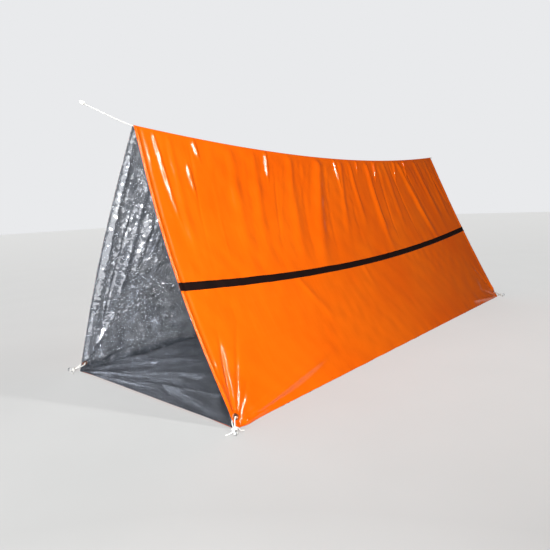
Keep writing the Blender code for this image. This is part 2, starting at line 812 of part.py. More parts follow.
CORNERS = (
    ("front_right", RIGHT, FRONT, RIGHT_WALL),
    ("front_left", LEFT, FRONT, LEFT_WALL),
    ("rear_right", RIGHT, REAR, RIGHT_WALL),
    ("rear_left", LEFT, REAR, LEFT_WALL),
)
for corner_name, corner_side, corner_end, corner_wall in CORNERS:
    corner_seat = corner_wall.corner_seat(corner_end)
    make_eyelet(f"eyelet_{corner_name}", corner_seat)
    make_washer(f"eyelet_washer_{corner_name}", corner_seat)
    make_peg(f"peg_{corner_name}", corner_side, corner_end)
    corner_tie = CornerTie(corner_side, corner_end, corner_seat)
    binding_end = corner_tie.length - 2 * PEG_TURN
    binding_start = binding_end - (CORD_DIAMETER + CORD_GAP) * (TIE_WRAP_TURNS + 1)
    make_corner_tie(f"corner_tie_{corner_name}", corner_tie, binding_start, binding_end)
    make_tie_knot(f"tie_knot_{corner_name}", corner_tie, binding_start, binding_end)
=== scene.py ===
import math
import random

import bmesh
import bpy
import numpy as np
from mathutils import Matrix, Vector


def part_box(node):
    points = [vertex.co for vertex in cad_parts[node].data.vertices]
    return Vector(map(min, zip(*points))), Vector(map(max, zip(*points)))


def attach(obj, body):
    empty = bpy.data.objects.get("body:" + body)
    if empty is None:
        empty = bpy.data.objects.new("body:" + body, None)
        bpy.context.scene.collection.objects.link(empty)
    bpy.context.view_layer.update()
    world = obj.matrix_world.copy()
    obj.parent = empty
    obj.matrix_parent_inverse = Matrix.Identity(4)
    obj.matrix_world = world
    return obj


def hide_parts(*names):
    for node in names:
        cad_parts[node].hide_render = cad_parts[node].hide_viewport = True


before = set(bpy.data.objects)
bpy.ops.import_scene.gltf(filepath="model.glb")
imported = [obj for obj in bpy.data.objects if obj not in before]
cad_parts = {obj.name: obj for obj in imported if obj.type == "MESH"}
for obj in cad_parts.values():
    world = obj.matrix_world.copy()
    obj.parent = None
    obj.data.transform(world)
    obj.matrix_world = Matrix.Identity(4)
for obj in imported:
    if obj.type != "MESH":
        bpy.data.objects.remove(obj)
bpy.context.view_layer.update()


# Film tube, orange side
# The tent is one seamless tube of blown polyethylene film, pigmented orange and metallised silver
# on the inside. It hangs over the ridge cord, and its packing creases and drag folds stay in it.

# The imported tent's sizes, and the film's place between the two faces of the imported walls
floor_low, floor_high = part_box("film_floor")
TUBE_LENGTH = floor_high.y - floor_low.y
FLOOR_WIDTH = floor_high.x - floor_low.x
APEX_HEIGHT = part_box("film_right_wall")[1].z
RIDGE_SAG = 0.060
FRONT_APEX_SETBACK = 0.040
PACKED_FILM = 0.0012
GAP = 0.0003
CORD_DIAMETER = 0.004
CORD_RADIUS = CORD_DIAMETER / 2
FILM_LIFT = 0.00015
FOLD_RADIUS = CORD_RADIUS + GAP + PACKED_FILM / 2
FOOT_X = FLOOR_WIDTH / 2 - PACKED_FILM / 2
FOOT_Z = PACKED_FILM + GAP + PACKED_FILM / 2
WALL_HEIGHT = math.hypot(FOOT_X, APEX_HEIGHT)
MIDDLE_HEIGHT = APEX_HEIGHT / 3
FRONT_Y, REAR_Y = -TUBE_LENGTH / 2, TUBE_LENGTH / 2
RIGHT, LEFT = 1, -1
FRONT, REAR = -1, 1

# How far each wall hangs inwards of a straight line: front edge, half way and rear edge
BOWS = {RIGHT: (0.045, 0.055, 0.012), LEFT: (-0.027, 0.035, 0.012)}

# How far the black band's middle lies below the ridge fold at both ends, its width, the pucker of
# the film beside it, and the mesh rows beside and across it
BAND_DROPS = (0.580, 0.549)
BAND_WIDTH = 0.030
BAND_PUCKER = 0.0011
BAND_PUCKER_WIDTH = 0.0035
BAND_MARGINS = (0.009, 0.006, 0.003)
BAND_STEPS = 4

# Folds: where each starts and ends, as shares along the tube and up the wall, then its depth and
# width as shares of the sizes here. Round ones are drag folds, sharp ones are creases.
ROUND_DEPTH = 0.015
ROUND_WIDTH = 0.032
SHARP_DEPTH = 0.0060
SHARP_WIDTH = 0.011

# Along its own length a fold widens from a share of its width, and rises over one stretch. It
# fades from one share over another. The last value is how fast a crease falls off.
FOLD_START_WIDTH = 0.45
FOLD_RISE = 0.07
FOLD_FADE = (0.42, 0.58)
CREASE_FALL_OFF = 1.2
RIGHT_ROUND_SHARES = (
    (0.058, 1.00, 0.050, 0.38, 0.16, 0.80),
    (0.185, 1.00, 0.150, 0.34, 0.36, 1.40),
    (0.243, 1.00, 0.195, 0.40, 0.30, 1.00),
    (0.345, 1.00, 0.280, 0.36, 0.45, 1.20),
    (0.440, 1.00, 0.320, 0.32, 0.90, 1.70),
    (0.522, 1.00, 0.455, 0.50, 0.40, 0.80),
    (0.556, 1.00, 0.545, 0.55, 0.50, 0.65),
    (0.628, 1.00, 0.612, 0.38, 0.80, 0.80),
    (0.712, 1.00, 0.710, 0.50, 0.50, 0.70),
    (0.785, 1.00, 0.852, 0.38, 0.85, 0.70),
    (0.880, 1.00, 0.915, 0.45, 0.55, 0.75),
    (0.950, 1.00, 0.955, 0.50, 0.40, 0.55),
    (0.004, 0.00, 0.300, 0.125, 0.75, 0.80),
    (0.250, 0.43, 0.310, 0.17, 0.20, 0.90),
    (0.466, 0.43, 0.476, 0.24, 0.18, 0.80),
)
RIGHT_SHARP_SHARES = (
    (0.097, 0.99, 0.070, 0.44, -0.24, 0.80),
    (0.135, 0.99, 0.108, 0.40, 0.22, 0.80),
    (0.223, 0.99, 0.168, 0.40, -0.36, 0.90),
    (0.296, 0.97, 0.228, 0.40, -0.42, 0.90),
    (0.375, 0.99, 0.318, 0.40, -0.50, 0.90),
    (0.455, 0.98, 0.395, 0.40, -0.75, 1.00),
    (0.538, 0.99, 0.500, 0.42, -0.60, 0.80),
    (0.680, 1.00, 0.654, 0.42, -0.80, 0.90),
    (0.740, 1.00, 0.760, 0.44, -0.70, 0.80),
    (0.812, 1.00, 0.868, 0.44, -0.90, 1.00),
    (0.905, 1.00, 0.935, 0.44, -0.70, 0.80),
    (0.004, 0.01, 0.040, 0.32, -1.20, 0.90),
    (0.006, 0.01, 0.090, 0.36, -0.60, 0.90),
    (0.006, 0.01, 0.058, 0.13, -0.70, 0.60),
    (0.018, 0.01, 0.135, 0.031, -1.10, 0.80),
)
LEFT_ROUND_SHARES = (
    (0.060, 1.00, 0.060, 0.20, 0.60, 0.80),
    (0.150, 1.00, 0.120, 0.25, 0.80, 1.00),
    (0.260, 1.00, 0.200, 0.35, 0.60, 0.80),
    (0.370, 1.00, 0.290, 0.30, 1.10, 1.40),
    (0.480, 1.00, 0.430, 0.45, 0.60, 0.80),
    (0.580, 1.00, 0.555, 0.35, 0.90, 1.10),
    (0.690, 1.00, 0.670, 0.50, 0.50, 0.70),
    (0.780, 1.00, 0.800, 0.35, 0.80, 1.00),
    (0.870, 1.00, 0.900, 0.45, 0.60, 0.80),
    (0.945, 1.00, 0.952, 0.50, 0.40, 0.60),
    (0.004, 0.00, 0.260, 0.110, 0.60, 0.80),
)
LEFT_SHARP_SHARES = (
    (0.008, 0.93, 0.017, 0.06, -1.70, 0.90),
    (0.036, 0.70, 0.025, 0.06, 1.60, 1.00),
    (0.052, 0.86, 0.046, 0.10, -1.30, 0.90),
    (0.090, 0.97, 0.074, 0.22, 1.20, 1.00),
    (0.118, 0.94, 0.102, 0.30, -1.10, 0.90),
    (0.205, 0.98, 0.170, 0.40, -1.20, 1.00),
    (0.330, 0.98, 0.270, 0.42, -1.00, 1.10),
    (0.520, 0.98, 0.480, 0.44, -1.20, 1.00),
    (0.735, 0.98, 0.730, 0.44, -1.00, 1.00),
    (0.004, 0.01, 0.060, 0.32, -1.30, 1.00),
)
REAR_FAN_SHARES = (
    (0.998, 0.02, 0.985, 0.25, 1.10, 0.65),
    (0.996, 0.01, 0.938, 0.31, -1.30, 1.00),
    (0.994, 0.01, 0.900, 0.10, -0.80, 0.80),
    (0.990, 0.00, 0.780, 0.055, 1.20, 1.40),
)

# Pinched folds on the right wall, with a flat front flank. The fifth share is that flank's slope.
PINCH_WIDTH = 0.013
PINCH_RISE = 0.25
PINCH_FADE = (0.55, 0.45)
RIGHT_PINCH_SHARES = (
    (0.030, 1.04, 0.042, 0.60, 0.17, 1.35),
    (0.017, 0.97, 0.016, 0.84, 0.15, 0.50),
    (0.105, 1.03, 0.111, 0.89, 0.23, 1.50),
    (0.083, 0.91, 0.084, 0.75, 0.23, 1.50),
    (0.279, 1.03, 0.262, 0.83, 0.37, 1.50),
    (0.497, 1.03, 0.495, 0.81, 0.57, 1.30),
    (0.591, 1.02, 0.579, 0.91, 0.64, 1.10),
    (0.668, 1.03, 0.650, 0.85, 0.70, 1.30),
    (0.772, 1.03, 0.745, 0.84, 0.79, 1.00),
    (0.827, 1.03, 0.808, 0.85, 0.83, 1.00),
    (0.014, 0.22, 0.001, 0.02, 0.17, 0.95),
)

# The same on the left wall, pinched inwards beside the opening
LEFT_PINCH_SHARES = (
    (0.034, 0.80, 0.022, 0.06, -0.42, 1.10),
    (0.056, 0.76, 0.046, 0.22, -0.48, 1.20),
    (0.078, 0.72, 0.066, 0.34, -0.52, 1.30),
    (0.104, 0.74, 0.088, 0.40, -0.46, 1.00),
    (0.140, 0.90, 0.122, 0.50, -0.40, 0.90),
)

# Packing creases run the whole length at these shares of the height
PACKING_UP_SHARES = (0.235, 0.36, 0.69, 0.845)
PACKING_DEPTH = 0.0009
PACKING_WIDTH = 0.007

# Small gathers below the cord, on each wall. They start at these shares along and up, and stay
# clear of the right wall's pinched folds. There they are shallower at the front, up to a share.
GATHER_SEED = 40
GATHER_COUNT = 84
GATHER_PLACES = (0.01, 0.99)
GATHER_TOPS = (0.94, 1.0)
GATHER_LENGTHS = (0.08, 0.46)
GATHER_DEPTHS = (0.0008, 0.0032)
GATHER_WIDTHS = (0.006, 0.018)
PINCH_CLEARANCE = 0.014
GATHER_FRONT_DEPTH = 0.22
GATHER_FRONT_REACH = 0.6

# How far gathers lean, where along the tube that is centred or starts, and over what share of it
MIDDLE_LEAN = (-0.20, 0.40, 0.20)
REAR_LEAN = (0.10, 0.68, 0.14)

# Facets that thin film keeps from its packing: wave lengths and the slope of a facet
CRUMPLE_SEED = 7
CRUMPLE_WAVES = 9
CRUMPLE_LENGTHS = (0.045, 0.150)
CRUMPLE_SLOPES = {RIGHT: 0.010, LEFT: 0.045}
CRUMPLE_PHASES = (0, 6)
CRUMPLE_DRIFT = 0.31
CRUMPLE_DRIFT_RATES = (4, 9)
CRUMPLE_PATCH = (0.55, 0.45)
CRUMPLE_PATCH_RATES = (5, 13)
CRUMPLE_MARGIN = (0.030, 0.060)

# A cut end of the film curls: a crest beside the edge, then a crease, each by its distance from
# the edge, its height and its width. The lip at the edge itself has a height and a width.
EDGE_CREST = (0.009, 0.0024, 0.006)
EDGE_CREASE = (0.024, -0.0021, 0.005)
EDGE_LIP = (0.0015, 0.002)

# The folds fade out over this last share of the way up to the ridge
RIDGE_FADE = 0.020

# Spacing of the mesh along the tube and up a wall
COLUMN_SAMPLES = 6001
LOW_REACH = 0.22
LOW_ROW_STEP = 0.0068
LOWER_ROW_SHARE = 0.042
UPPER_ROW_SHARE = 0.0178
EDGE_STEP = 0.0012
EDGE_REACH = 0.0255
FINE_STEP = 0.004
FINE_REACH = 0.062
CLOSE_REACH = 0.095
FRONT_STEP = 0.0052
FRONT_REACH = 0.30
PINCH_STEP = 0.0048
PLAIN_STEP = 0.0106
RIDGE_STEPS = 8
HEM_STEPS = 4
UNDER_STEPS = 8


def mix(start, end, share):
    """The value that lies a share of the way from start to end."""
    return start + (end - start) * share


def ease(share):
    """0 to 1 with a soft start and end."""
    held = np.clip(share, 0, 1)
    return held * held * (3 - 2 * held)


def bow_at(side, along):
    """Inward hang of a wall: a parabola through its front, middle and rear values."""
    front, middle, rear = BOWS[side]
    ends = front * (1 - along) * (1 - 2 * along) + rear * along * (2 * along - 1)
    return ends + middle * 4 * along * (1 - along)


def ridge_place(along):
    """Y and Z of the ridge cord's centre."""
    sag = RIDGE_SAG * 4 * along * (1 - along)
    height = APEX_HEIGHT - sag - PACKED_FILM - GAP - CORD_RADIUS
    return mix(FRONT_Y + FRONT_APEX_SETBACK, REAR_Y, along), height


def along_fold(across, over, start, end):
    """Share of the way down a fold, and the distance off its line, on the front side of it."""
    run = (end[0] - start[0], end[1] - start[1])
    length = math.hypot(*run)
    share = ((across - start[0]) * run[0] + (over - start[1]) * run[1]) / length**2
    return share, ((across - start[0]) * run[1] - (over - start[1]) * run[0]) / length


def fold_height(across, over, start, end, depth, width, sharp):
    """Height of one fold on a flat sheet. It starts narrow, widens and fades towards its end."""
    share, off = along_fold(across, over, start, end)
    spread = np.abs(off) / (width * mix(FOLD_START_WIDTH, 1, np.clip(share, 0, 1)))
    profile = np.exp(-spread * CREASE_FALL_OFF) if sharp else np.exp(-(spread**2))
    fade = ease((share - FOLD_FADE[0]) / FOLD_FADE[1])
    return depth * profile * ease(share / FOLD_RISE) * (1 - fade)


def pinch_height(across, over, start, end, slope, width):
    """Height of a pinched fold: a flat front flank, a back twice as steep, and pointed ends."""
    share, off = along_fold(across, over, start, end)
    fade = ease((share - PINCH_FADE[0]) / PINCH_FADE[1])
    reach = width * ease(share / PINCH_RISE) * (1 - fade)
    return slope * np.maximum(np.minimum(reach - off, reach + 2 * off), 0)


def crumple(across, over, seed, slope):
    """Flat facets between straight creases: triangle waves that run in many directions."""
    draw = random.Random(seed)
    height = 0
    for _ in range(CRUMPLE_WAVES):
        turn = draw.uniform(0, math.pi)
        length = draw.uniform(*CRUMPLE_LENGTHS)
        run = across * math.cos(turn) + over * math.sin(turn)
        side_run = over * math.cos(turn) - across * math.sin(turn)
        drift = CRUMPLE_DRIFT * np.sin(side_run / length + draw.uniform(*CRUMPLE_PHASES))
        drift = drift * np.sin(run * draw.uniform(*CRUMPLE_DRIFT_RATES))
        share = run / length + drift + draw.random()
        wave = np.abs(share - np.floor(share) - 0.5)
        rate = draw.uniform(*CRUMPLE_PATCH_RATES)
        patches = np.sin(side_run * rate + draw.uniform(*CRUMPLE_PHASES))
        patch = CRUMPLE_PATCH[0] + CRUMPLE_PATCH[1] * patches
        height = height + (wave - 0.25) * patch * length * slope * 2
    return height


def fold_lean(place):
    """How far a hanging fold drifts along the tube on its way down, as a share of the length."""
    lean, centre, spread = MIDDLE_LEAN
    middle = lean * math.exp(-(((place - centre) / spread) ** 2))
    lean, start, spread = REAR_LEAN
    return middle + lean * float(ease((place - start) / spread))


def gathers(side):
    """Small folds below the cord, as start, end, depth and width in metres."""
    draw = random.Random(GATHER_SEED + side)
    found = []
    for _ in range(GATHER_COUNT):
        place = draw.uniform(*GATHER_PLACES)
        length = draw.uniform(*GATHER_LENGTHS)
        down = length / WALL_HEIGHT
        start = (place * TUBE_LENGTH, draw.uniform(*GATHER_TOPS) * WALL_HEIGHT)
        end = ((place + fold_lean(place) * down) * TUBE_LENGTH, start[1] - length)
        depth = draw.choice((-1, 1)) * draw.uniform(*GATHER_DEPTHS)
        width = draw.uniform(*GATHER_WIDTHS)
        if side == RIGHT:
            depth *= mix(GATHER_FRONT_DEPTH, 1, float(ease(place / GATHER_FRONT_REACH)))
        clearance = min(abs(place - pinch[0]) for pinch in RIGHT_PINCH_SHARES)
        if side == LEFT or clearance > PINCH_CLEARANCE:
            found.append((start, end, depth, width))
    return found


def table_folds(shares, depth, width, sheet=(TUBE_LENGTH, WALL_HEIGHT)):
    """A table of folds on a sheet of some size, as start, end, depth and width in metres."""
    found = []
    for start_across, start_over, end_across, end_over, depth_share, width_share in shares:
        start = (start_across * sheet[0], start_over * sheet[1])
        end = (end_across * sheet[0], end_over * sheet[1])
        found.append((start, end, depth * depth_share, width * width_share))
    return found


ROUND_FOLDS, SHARP_FOLDS, PINCHED_FOLDS = {}, {}, {}
for side, round_shares, sharp_shares, pinch_shares in (
    (RIGHT, RIGHT_ROUND_SHARES, RIGHT_SHARP_SHARES, RIGHT_PINCH_SHARES),
    (LEFT, LEFT_ROUND_SHARES, LEFT_SHARP_SHARES, LEFT_PINCH_SHARES),
):
    creases = table_folds(sharp_shares + REAR_FAN_SHARES, SHARP_DEPTH, SHARP_WIDTH)
    ROUND_FOLDS[side] = table_folds(round_shares, ROUND_DEPTH, ROUND_WIDTH)
    SHARP_FOLDS[side] = creases + gathers(side)
    PINCHED_FOLDS[side] = table_folds(pinch_shares, 1, PINCH_WIDTH)


def edge_curl(distance):
    """Outward curl of a cut end, by distance from it."""
    crest_at, crest, crest_width = EDGE_CREST
    crease_at, crease, crease_width = EDGE_CREASE
    lip, lip_width = EDGE_LIP
    height = crest * np.exp(-(((distance - crest_at) / crest_width) ** 2))
    height += crease * np.exp(-np.abs(distance - crease_at) / crease_width)
    return height + lip * np.exp(-distance / lip_width)


def wall_length(along):
    """Straight distance from a wall's foot to the ridge fold, shorter where the cord sags."""
    ridge_y, ridge_z = ridge_place(along)
    slope = np.hypot(FOOT_X, ridge_z - FOOT_Z)
    across = FOOT_X - (ridge_z - FOOT_Z) / slope * FOLD_RADIUS
    rise = ridge_z - FOOT_Z + FOOT_X / slope * FOLD_RADIUS
    return np.sqrt(across**2 + rise**2 + (ridge_y - mix(FRONT_Y, REAR_Y, along)) ** 2)


def band_edges(along):
    """Distance up the wall of the black band's lower and upper edge, as if the ridge were level."""
    length = wall_length(along)
    middle = length - mix(*BAND_DROPS, along)
    level = WALL_HEIGHT / length
    return (middle - BAND_WIDTH / 2) * level, (middle + BAND_WIDTH / 2) * level


# Each eyelet's distance from the cut end and from the foot, and the flat patch of film round it
EYELET_EDGE_DISTANCE = 0.016
EYELET_RISE = 0.034
EYELET_FLAT = 0.0125
EYELET_EASE = 0.014


def wall_relief(side, along, up):
    """Outward height of every fold and crease at points of a wall."""
    across = along * TUBE_LENGTH
    over = up * WALL_HEIGHT
    edge_distance = np.minimum(across, TUBE_LENGTH - across)
    height = crumple(across, over, CRUMPLE_SEED + side, CRUMPLE_SLOPES[side])
    height *= ease((edge_distance - CRUMPLE_MARGIN[0]) / CRUMPLE_MARGIN[1])
    for fold in ROUND_FOLDS[side]:
        height += fold_height(across, over, *fold, False)
    for fold in SHARP_FOLDS[side]:
        height += fold_height(across, over, *fold, True)
    for fold in PINCHED_FOLDS[side]:
        height += pinch_height(across, over, *fold)
    for share in PACKING_UP_SHARES:
        height -= PACKING_DEPTH * np.exp(-np.abs(over - share * WALL_HEIGHT) / PACKING_WIDTH)
    for distance in (across, TUBE_LENGTH - across):
        height += edge_curl(distance)
    low, high = band_edges(along)
    outside = np.maximum(low - over, over - high)
    height += BAND_PUCKER * np.exp(-((outside / BAND_PUCKER_WIDTH) ** 2))
    for distance in (across, TUBE_LENGTH - across):
        radius = np.hypot(distance - EYELET_EDGE_DISTANCE, over - EYELET_RISE)
        height *= ease((radius - EYELET_FLAT) / EYELET_EASE)
    return height * ease((1 - up) / RIDGE_FADE)


def wall_points(side, along, up, lift):
    """Points of a wall by share along and share up, lifted off the middle of the film."""
    ridge_y, ridge_z = ridge_place(along)
    slope = np.hypot(FOOT_X, ridge_z - FOOT_Z)
    outward = ((ridge_z - FOOT_Z) / slope, FOOT_X / slope)
    off = wall_relief(side, along, up) - bow_at(side, along) * np.sin(math.pi * up) + lift
    x = mix(FOOT_X, outward[0] * FOLD_RADIUS, up) + outward[0] * off
    y = mix(mix(FRONT_Y, REAR_Y, along), ridge_y, up)
    z = mix(FOOT_Z, ridge_z + outward[1] * FOLD_RADIUS, up) + outward[1] * off
    return np.stack((side * x, y, z), axis=-1)


def ridge_points(turn, along, lift):
    """Points of the fold over the cord: turn 0 is where it leaves the right wall, 1 the left."""
    ridge_y, ridge_z = ridge_place(along)
    start = np.arctan2(FOOT_X, ridge_z - FOOT_Z)
    angle = mix(start, math.pi - start, turn)
    reach = FOLD_RADIUS + lift
    return np.stack((np.cos(angle) * reach, ridge_y, ridge_z + np.sin(angle) * reach), axis=-1)


def even_steps(start, end, step):
    """Values from start up to, but without, the end."""
    count = max(1, round((end - start) / step))
    return [mix(start, end, index / count) for index in range(count)]


def column_places():
    """Shares along the tube of the mesh's columns, closer at the cut ends and the pinched folds."""
    across = np.linspace(0, TUBE_LENGTH, COLUMN_SAMPLES)
    edge = np.minimum(across, TUBE_LENGTH - across)
    spacing = np.where(across < FRONT_REACH, FRONT_STEP, PLAIN_STEP)
    for start, end, _, width in PINCHED_FOLDS[RIGHT]:
        low, high = min(start[0], end[0]) - width, max(start[0], end[0]) + width / 2
        within = (across > low) & (across < high)
        spacing = np.where(within, np.minimum(spacing, PINCH_STEP), spacing)
    near = np.interp(edge, (0, EDGE_REACH, CLOSE_REACH), (EDGE_STEP, FINE_STEP, FINE_STEP))
    spacing = np.where(edge < CLOSE_REACH, near, spacing)
    columns = np.concatenate(([0], np.cumsum(np.diff(across) / spacing[1:])))
    count = round(columns[-1])
    return np.interp(np.linspace(0, columns[-1], count + 1), columns, across) / TUBE_LENGTH


def wall_rows(along):
    """Shares up the wall of each mesh row, which follow the black band's edges."""
    low, high = band_edges(along)
    overs = even_steps(0, FINE_REACH, FINE_STEP)
    overs += even_steps(FINE_REACH, LOW_REACH, LOW_ROW_STEP)
    rows = [np.full_like(along, over) for over in overs]
    for share in even_steps(0, 1, LOWER_ROW_SHARE):
        rows.append(mix(LOW_REACH, low - BAND_MARGINS[0], share))
    rows += [low - margin for margin in BAND_MARGINS]
    rows += [mix(low, high, step / BAND_STEPS) for step in range(BAND_STEPS + 1)]
    rows += [high + margin for margin in reversed(BAND_MARGINS)]
    for share in even_steps(0, 1, UPPER_ROW_SHARE)[1:]:
        rows.append(mix(high + BAND_MARGINS[0], WALL_HEIGHT, share))
    return [row / WALL_HEIGHT for row in rows]


ALONG = column_places()
WALL_ROWS = wall_rows(ALONG)


def turn_faces(builder, outwards):
    """Turns all faces away from a line through the middle of the tube, or towards it."""
    builder.normal_update()
    score = 0
    for face in builder.faces:
        middle = face.calc_center_median()
        away = middle - Vector((0, middle.y, MIDDLE_HEIGHT))
        score += face.normal.dot(away) * face.calc_area()
    if (score > 0) != outwards:
        bmesh.ops.reverse_faces(builder, faces=builder.faces[:])


def grid_sheet(rows):
    """A bmesh sheet whose grid of vertices is laid on the given rows of points."""
    builder = bmesh.new()
    count = len(rows[0])
    bmesh.ops.create_grid(builder, x_segments=count - 1, y_segments=len(rows) - 1, size=1)
    builder.verts.ensure_lookup_table()
    for row_index, row in enumerate(rows):
        for column, point in enumerate(row):
            builder.verts[row_index * count + column].co = point
    return builder


def finish_mesh(name, builder, material, body):
    """A smooth-shaded piece that rides on a body."""
    mesh = bpy.data.meshes.new(name)
    builder.to_mesh(mesh)
    builder.free()
    mesh.materials.append(material)
    mesh.shade_smooth()
    piece = bpy.data.objects.new(name, mesh)
    bpy.context.scene.collection.objects.link(piece)
    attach(piece, body)
    return piece


def linear(hex_colour):
    """An sRGB hex colour as linear RGBA."""
    channels = [int(hex_colour[i : i + 2], 16) / 255 for i in (1, 3, 5)]
    return [c / 12.92 if c <= 0.04045 else ((c + 0.055) / 1.055) ** 2.4 for c in channels] + [1]


def add_node(material, kind, feeds=(), **settings):
    """One shader node. Feeds are another node's socket or a value, for its sockets by name or in
    order. Settings fill one of its options, or the socket of that name."""
    node = material.node_tree.nodes.new(kind)
    for name, value in settings.items():
        if hasattr(node, name):
            setattr(node, name, value)
        else:
            node.inputs[name.title()].default_value = value
    for socket, feed in feeds.items() if isinstance(feeds, dict) else enumerate(feeds):
        if isinstance(feed, bpy.types.NodeSocket):
            material.node_tree.links.new(feed, node.inputs[socket])
        else:
            node.inputs[socket].default_value = feed
    return node


def new_material(name, colour, roughness, metallic=0):
    """A Principled BSDF material, with its shader and its Object coordinates."""
    material = bpy.data.materials.new(name)
    material.use_nodes = True
    shader = material.node_tree.nodes["Principled BSDF"]
    shader.inputs["Base Color"].default_value = linear(colour)
    shader.inputs["Roughness"].default_value = roughness
    shader.inputs["Metallic"].default_value = metallic
    place = add_node(material, "ShaderNodeTexCoord").outputs["Object"]
    return material, shader, place


def vary_colour(material, shader, pattern, low, high, first, second):
    """Takes a finish from one sRGB hex colour to another as a pattern goes from low to high."""
    share = add_node(material, "ShaderNodeMapRange", (pattern, low, high)).outputs["Result"]
    colours = {"Factor": share, 6: linear(first), 7: linear(second)}
    blend = add_node(material, "ShaderNodeMix", colours, data_type="RGBA")
    material.node_tree.links.new(blend.outputs[2], shader.inputs["Base Color"])


def vary_gloss(material, shader, pattern, low, high, smooth, rough):
    """Takes a finish from smooth to rough as a pattern goes from low to high."""
    gloss = add_node(material, "ShaderNodeMapRange", (pattern, low, high, smooth, rough))
    material.node_tree.links.new(gloss.outputs["Result"], shader.inputs["Roughness"])


# Crinkles finer than the mesh: a long one down the wall every 45 mm and a short one every 12 mm.
# The pigment's tone changes over patches of 323 mm.
DRAG_CRINKLE = 0.045
FINE_CRINKLE = 0.012
DRAG_STRETCH = 0.16
TONE_PATCH = 0.3226


def orange_film():
    """Pigmented polyethylene film: saturated, with a wet-looking gloss that creases break up."""
    material, shader, place = new_material("orange_polyethylene_film", "#F45D04", 0.15)
    shader.inputs["IOR"].default_value = 1.51
    shader.inputs["Specular IOR Level"].default_value = 0.36
    stretch = {"Vector": place, "Scale": (DRAG_STRETCH, 1, DRAG_STRETCH)}
    long_way = {"Vector": add_node(material, "ShaderNodeMapping", stretch).outputs[0]}
    place = {"Vector": place}
    drag = add_node(material, "ShaderNodeTexNoise", long_way, scale=1 / DRAG_CRINKLE, detail=3.0)
    fine = add_node(material, "ShaderNodeTexNoise", place, scale=1 / FINE_CRINKLE, detail=4.0)
    tone = add_node(material, "ShaderNodeTexNoise", place, scale=1 / TONE_PATCH, detail=3.0)
    vary_colour(material, shader, tone.outputs["Fac"], 0.35, 0.65, "#F26203", "#F66B06")
    vary_gloss(material, shader, drag.outputs["Fac"], 0.3, 0.7, 0.09, 0.15)
    height = {"Height": drag.outputs["Fac"]}
    first = add_node(material, "ShaderNodeBump", height, strength=0.6, distance=0.0020)
    height = {"Height": fine.outputs["Fac"], "Normal": first.outputs[0]}
    second = add_node(material, "ShaderNodeBump", height, strength=0.25, distance=0.0005)
    material.node_tree.links.new(second.outputs[0], shader.inputs["Normal"])
    return material


# The floor's own facets lie a little proud of the ground. Its film is pulled flat along the feet
# of the walls, and nearly flat at the cut ends.
FLOOR_PLAY = 0.004
FLOOR_CRUMPLE_SEED = 21
FLOOR_CRUMPLE_SLOPE = 0.020
FLOOR_SIDE_REACH = 0.05
FLOOR_END_REACH = 0.04
FLOOR_END_SHARE = 0.15

# Folds of the floor, as shares across it from the left and along it from the front
FLOOR_FOLD_DEPTH = 0.0080
FLOOR_FOLD_WIDTH = 0.014
FLOOR_FOLD_SHARES = (
    (-0.02, -0.01, 0.50, 0.24, 0.6, 0.7),
    (-0.02, -0.01, 0.85, 0.13, 0.6, 0.7),
    (-0.02, -0.01, 0.60, 0.030, 0.5, 0.6),
    (1.02, -0.01, 0.66, 0.12, 0.7, 0.7),
    (1.02, -0.01, 0.91, 0.36, 0.7, 0.8),
    (0.00, 1.00, 0.30, 0.78, 1.0, 1.0),
    (0.00, 1.00, 0.12, 0.60, 0.8, 0.9),
    (1.00, 1.00, 0.70, 0.76, 1.0, 1.0),
    (1.00, 1.00, 0.88, 0.58, 0.8, 0.9),
    (0.15, 0.42, 0.82, 0.34, 0.6, 1.2),
    (0.85, 0.55, 0.20, 0.62, 0.6, 1.2),
    (0.30, 0.20, 0.62, 0.52, 0.5, 1.0),
)

# Flat pleats that fan out from the front corners. The fifth share is the flatter side's slope.
FLOOR_PLEAT_WIDTH = 0.045
FLOOR_PLEAT_SHARES = (
    (-0.04, -0.02, 0.17, 0.56, 0.28, 1.0),
    (-0.04, -0.02, 0.40, 0.50, 0.30, 1.0),
    (-0.04, -0.02, 0.80, 0.42, 0.30, 1.0),
    (-0.04, -0.02, 1.10, 0.24, 0.26, 0.9),
    (-0.04, -0.02, 1.10, 0.100, 0.22, 0.7),
    (1.04, -0.02, 0.20, 0.060, -0.22, 0.7),
    (1.04, -0.02, 0.46, 0.17, -0.26, 0.9),
    (1.04, -0.02, 0.68, 0.36, -0.28, 1.0),
)
FLOOR_SHEET = (FLOOR_WIDTH, TUBE_LENGTH)
FLOOR_FOLDS = table_folds(FLOOR_FOLD_SHARES, FLOOR_FOLD_DEPTH, FLOOR_FOLD_WIDTH, FLOOR_SHEET)
FLOOR_PLEATS = table_folds(FLOOR_PLEAT_SHARES, 1, FLOOR_PLEAT_WIDTH, FLOOR_SHEET)

# The floor's underside and film, the lift of its cut ends, and the hem's angle at a wall's foot
FLOOR_UNDERSIDE = 0.0003
FLOOR_FILM = 0.0009
END_LIFT = 0.0045
END_LIFT_REACH = 0.020
UNDER_EDGE = 0.004
HEM_ANGLE = math.radians(26)
FILM_MERGE = 0.00001


def floor_height(across, along):
    """Height of the floor film's folds over the ground: fans from the corners and facets."""
    x = across * FLOOR_WIDTH
    y = along * TUBE_LENGTH
    height = FLOOR_PLAY + crumple(x, y, FLOOR_CRUMPLE_SEED, FLOOR_CRUMPLE_SLOPE)
    for fold in FLOOR_FOLDS:
        height += fold_height(x, y, *fold, True)
    for pleat in FLOOR_PLEATS:
        height += pinch_height(x, y, *pleat)
    side_distance = np.minimum(x, FLOOR_WIDTH - x)
    end_distance = np.minimum(y, TUBE_LENGTH - y)
    taut_edge = mix(FLOOR_END_SHARE, 1, ease(end_distance / FLOOR_END_REACH))
    return np.maximum(height, 0) * ease(side_distance / FLOOR_SIDE_REACH) * taut_edge


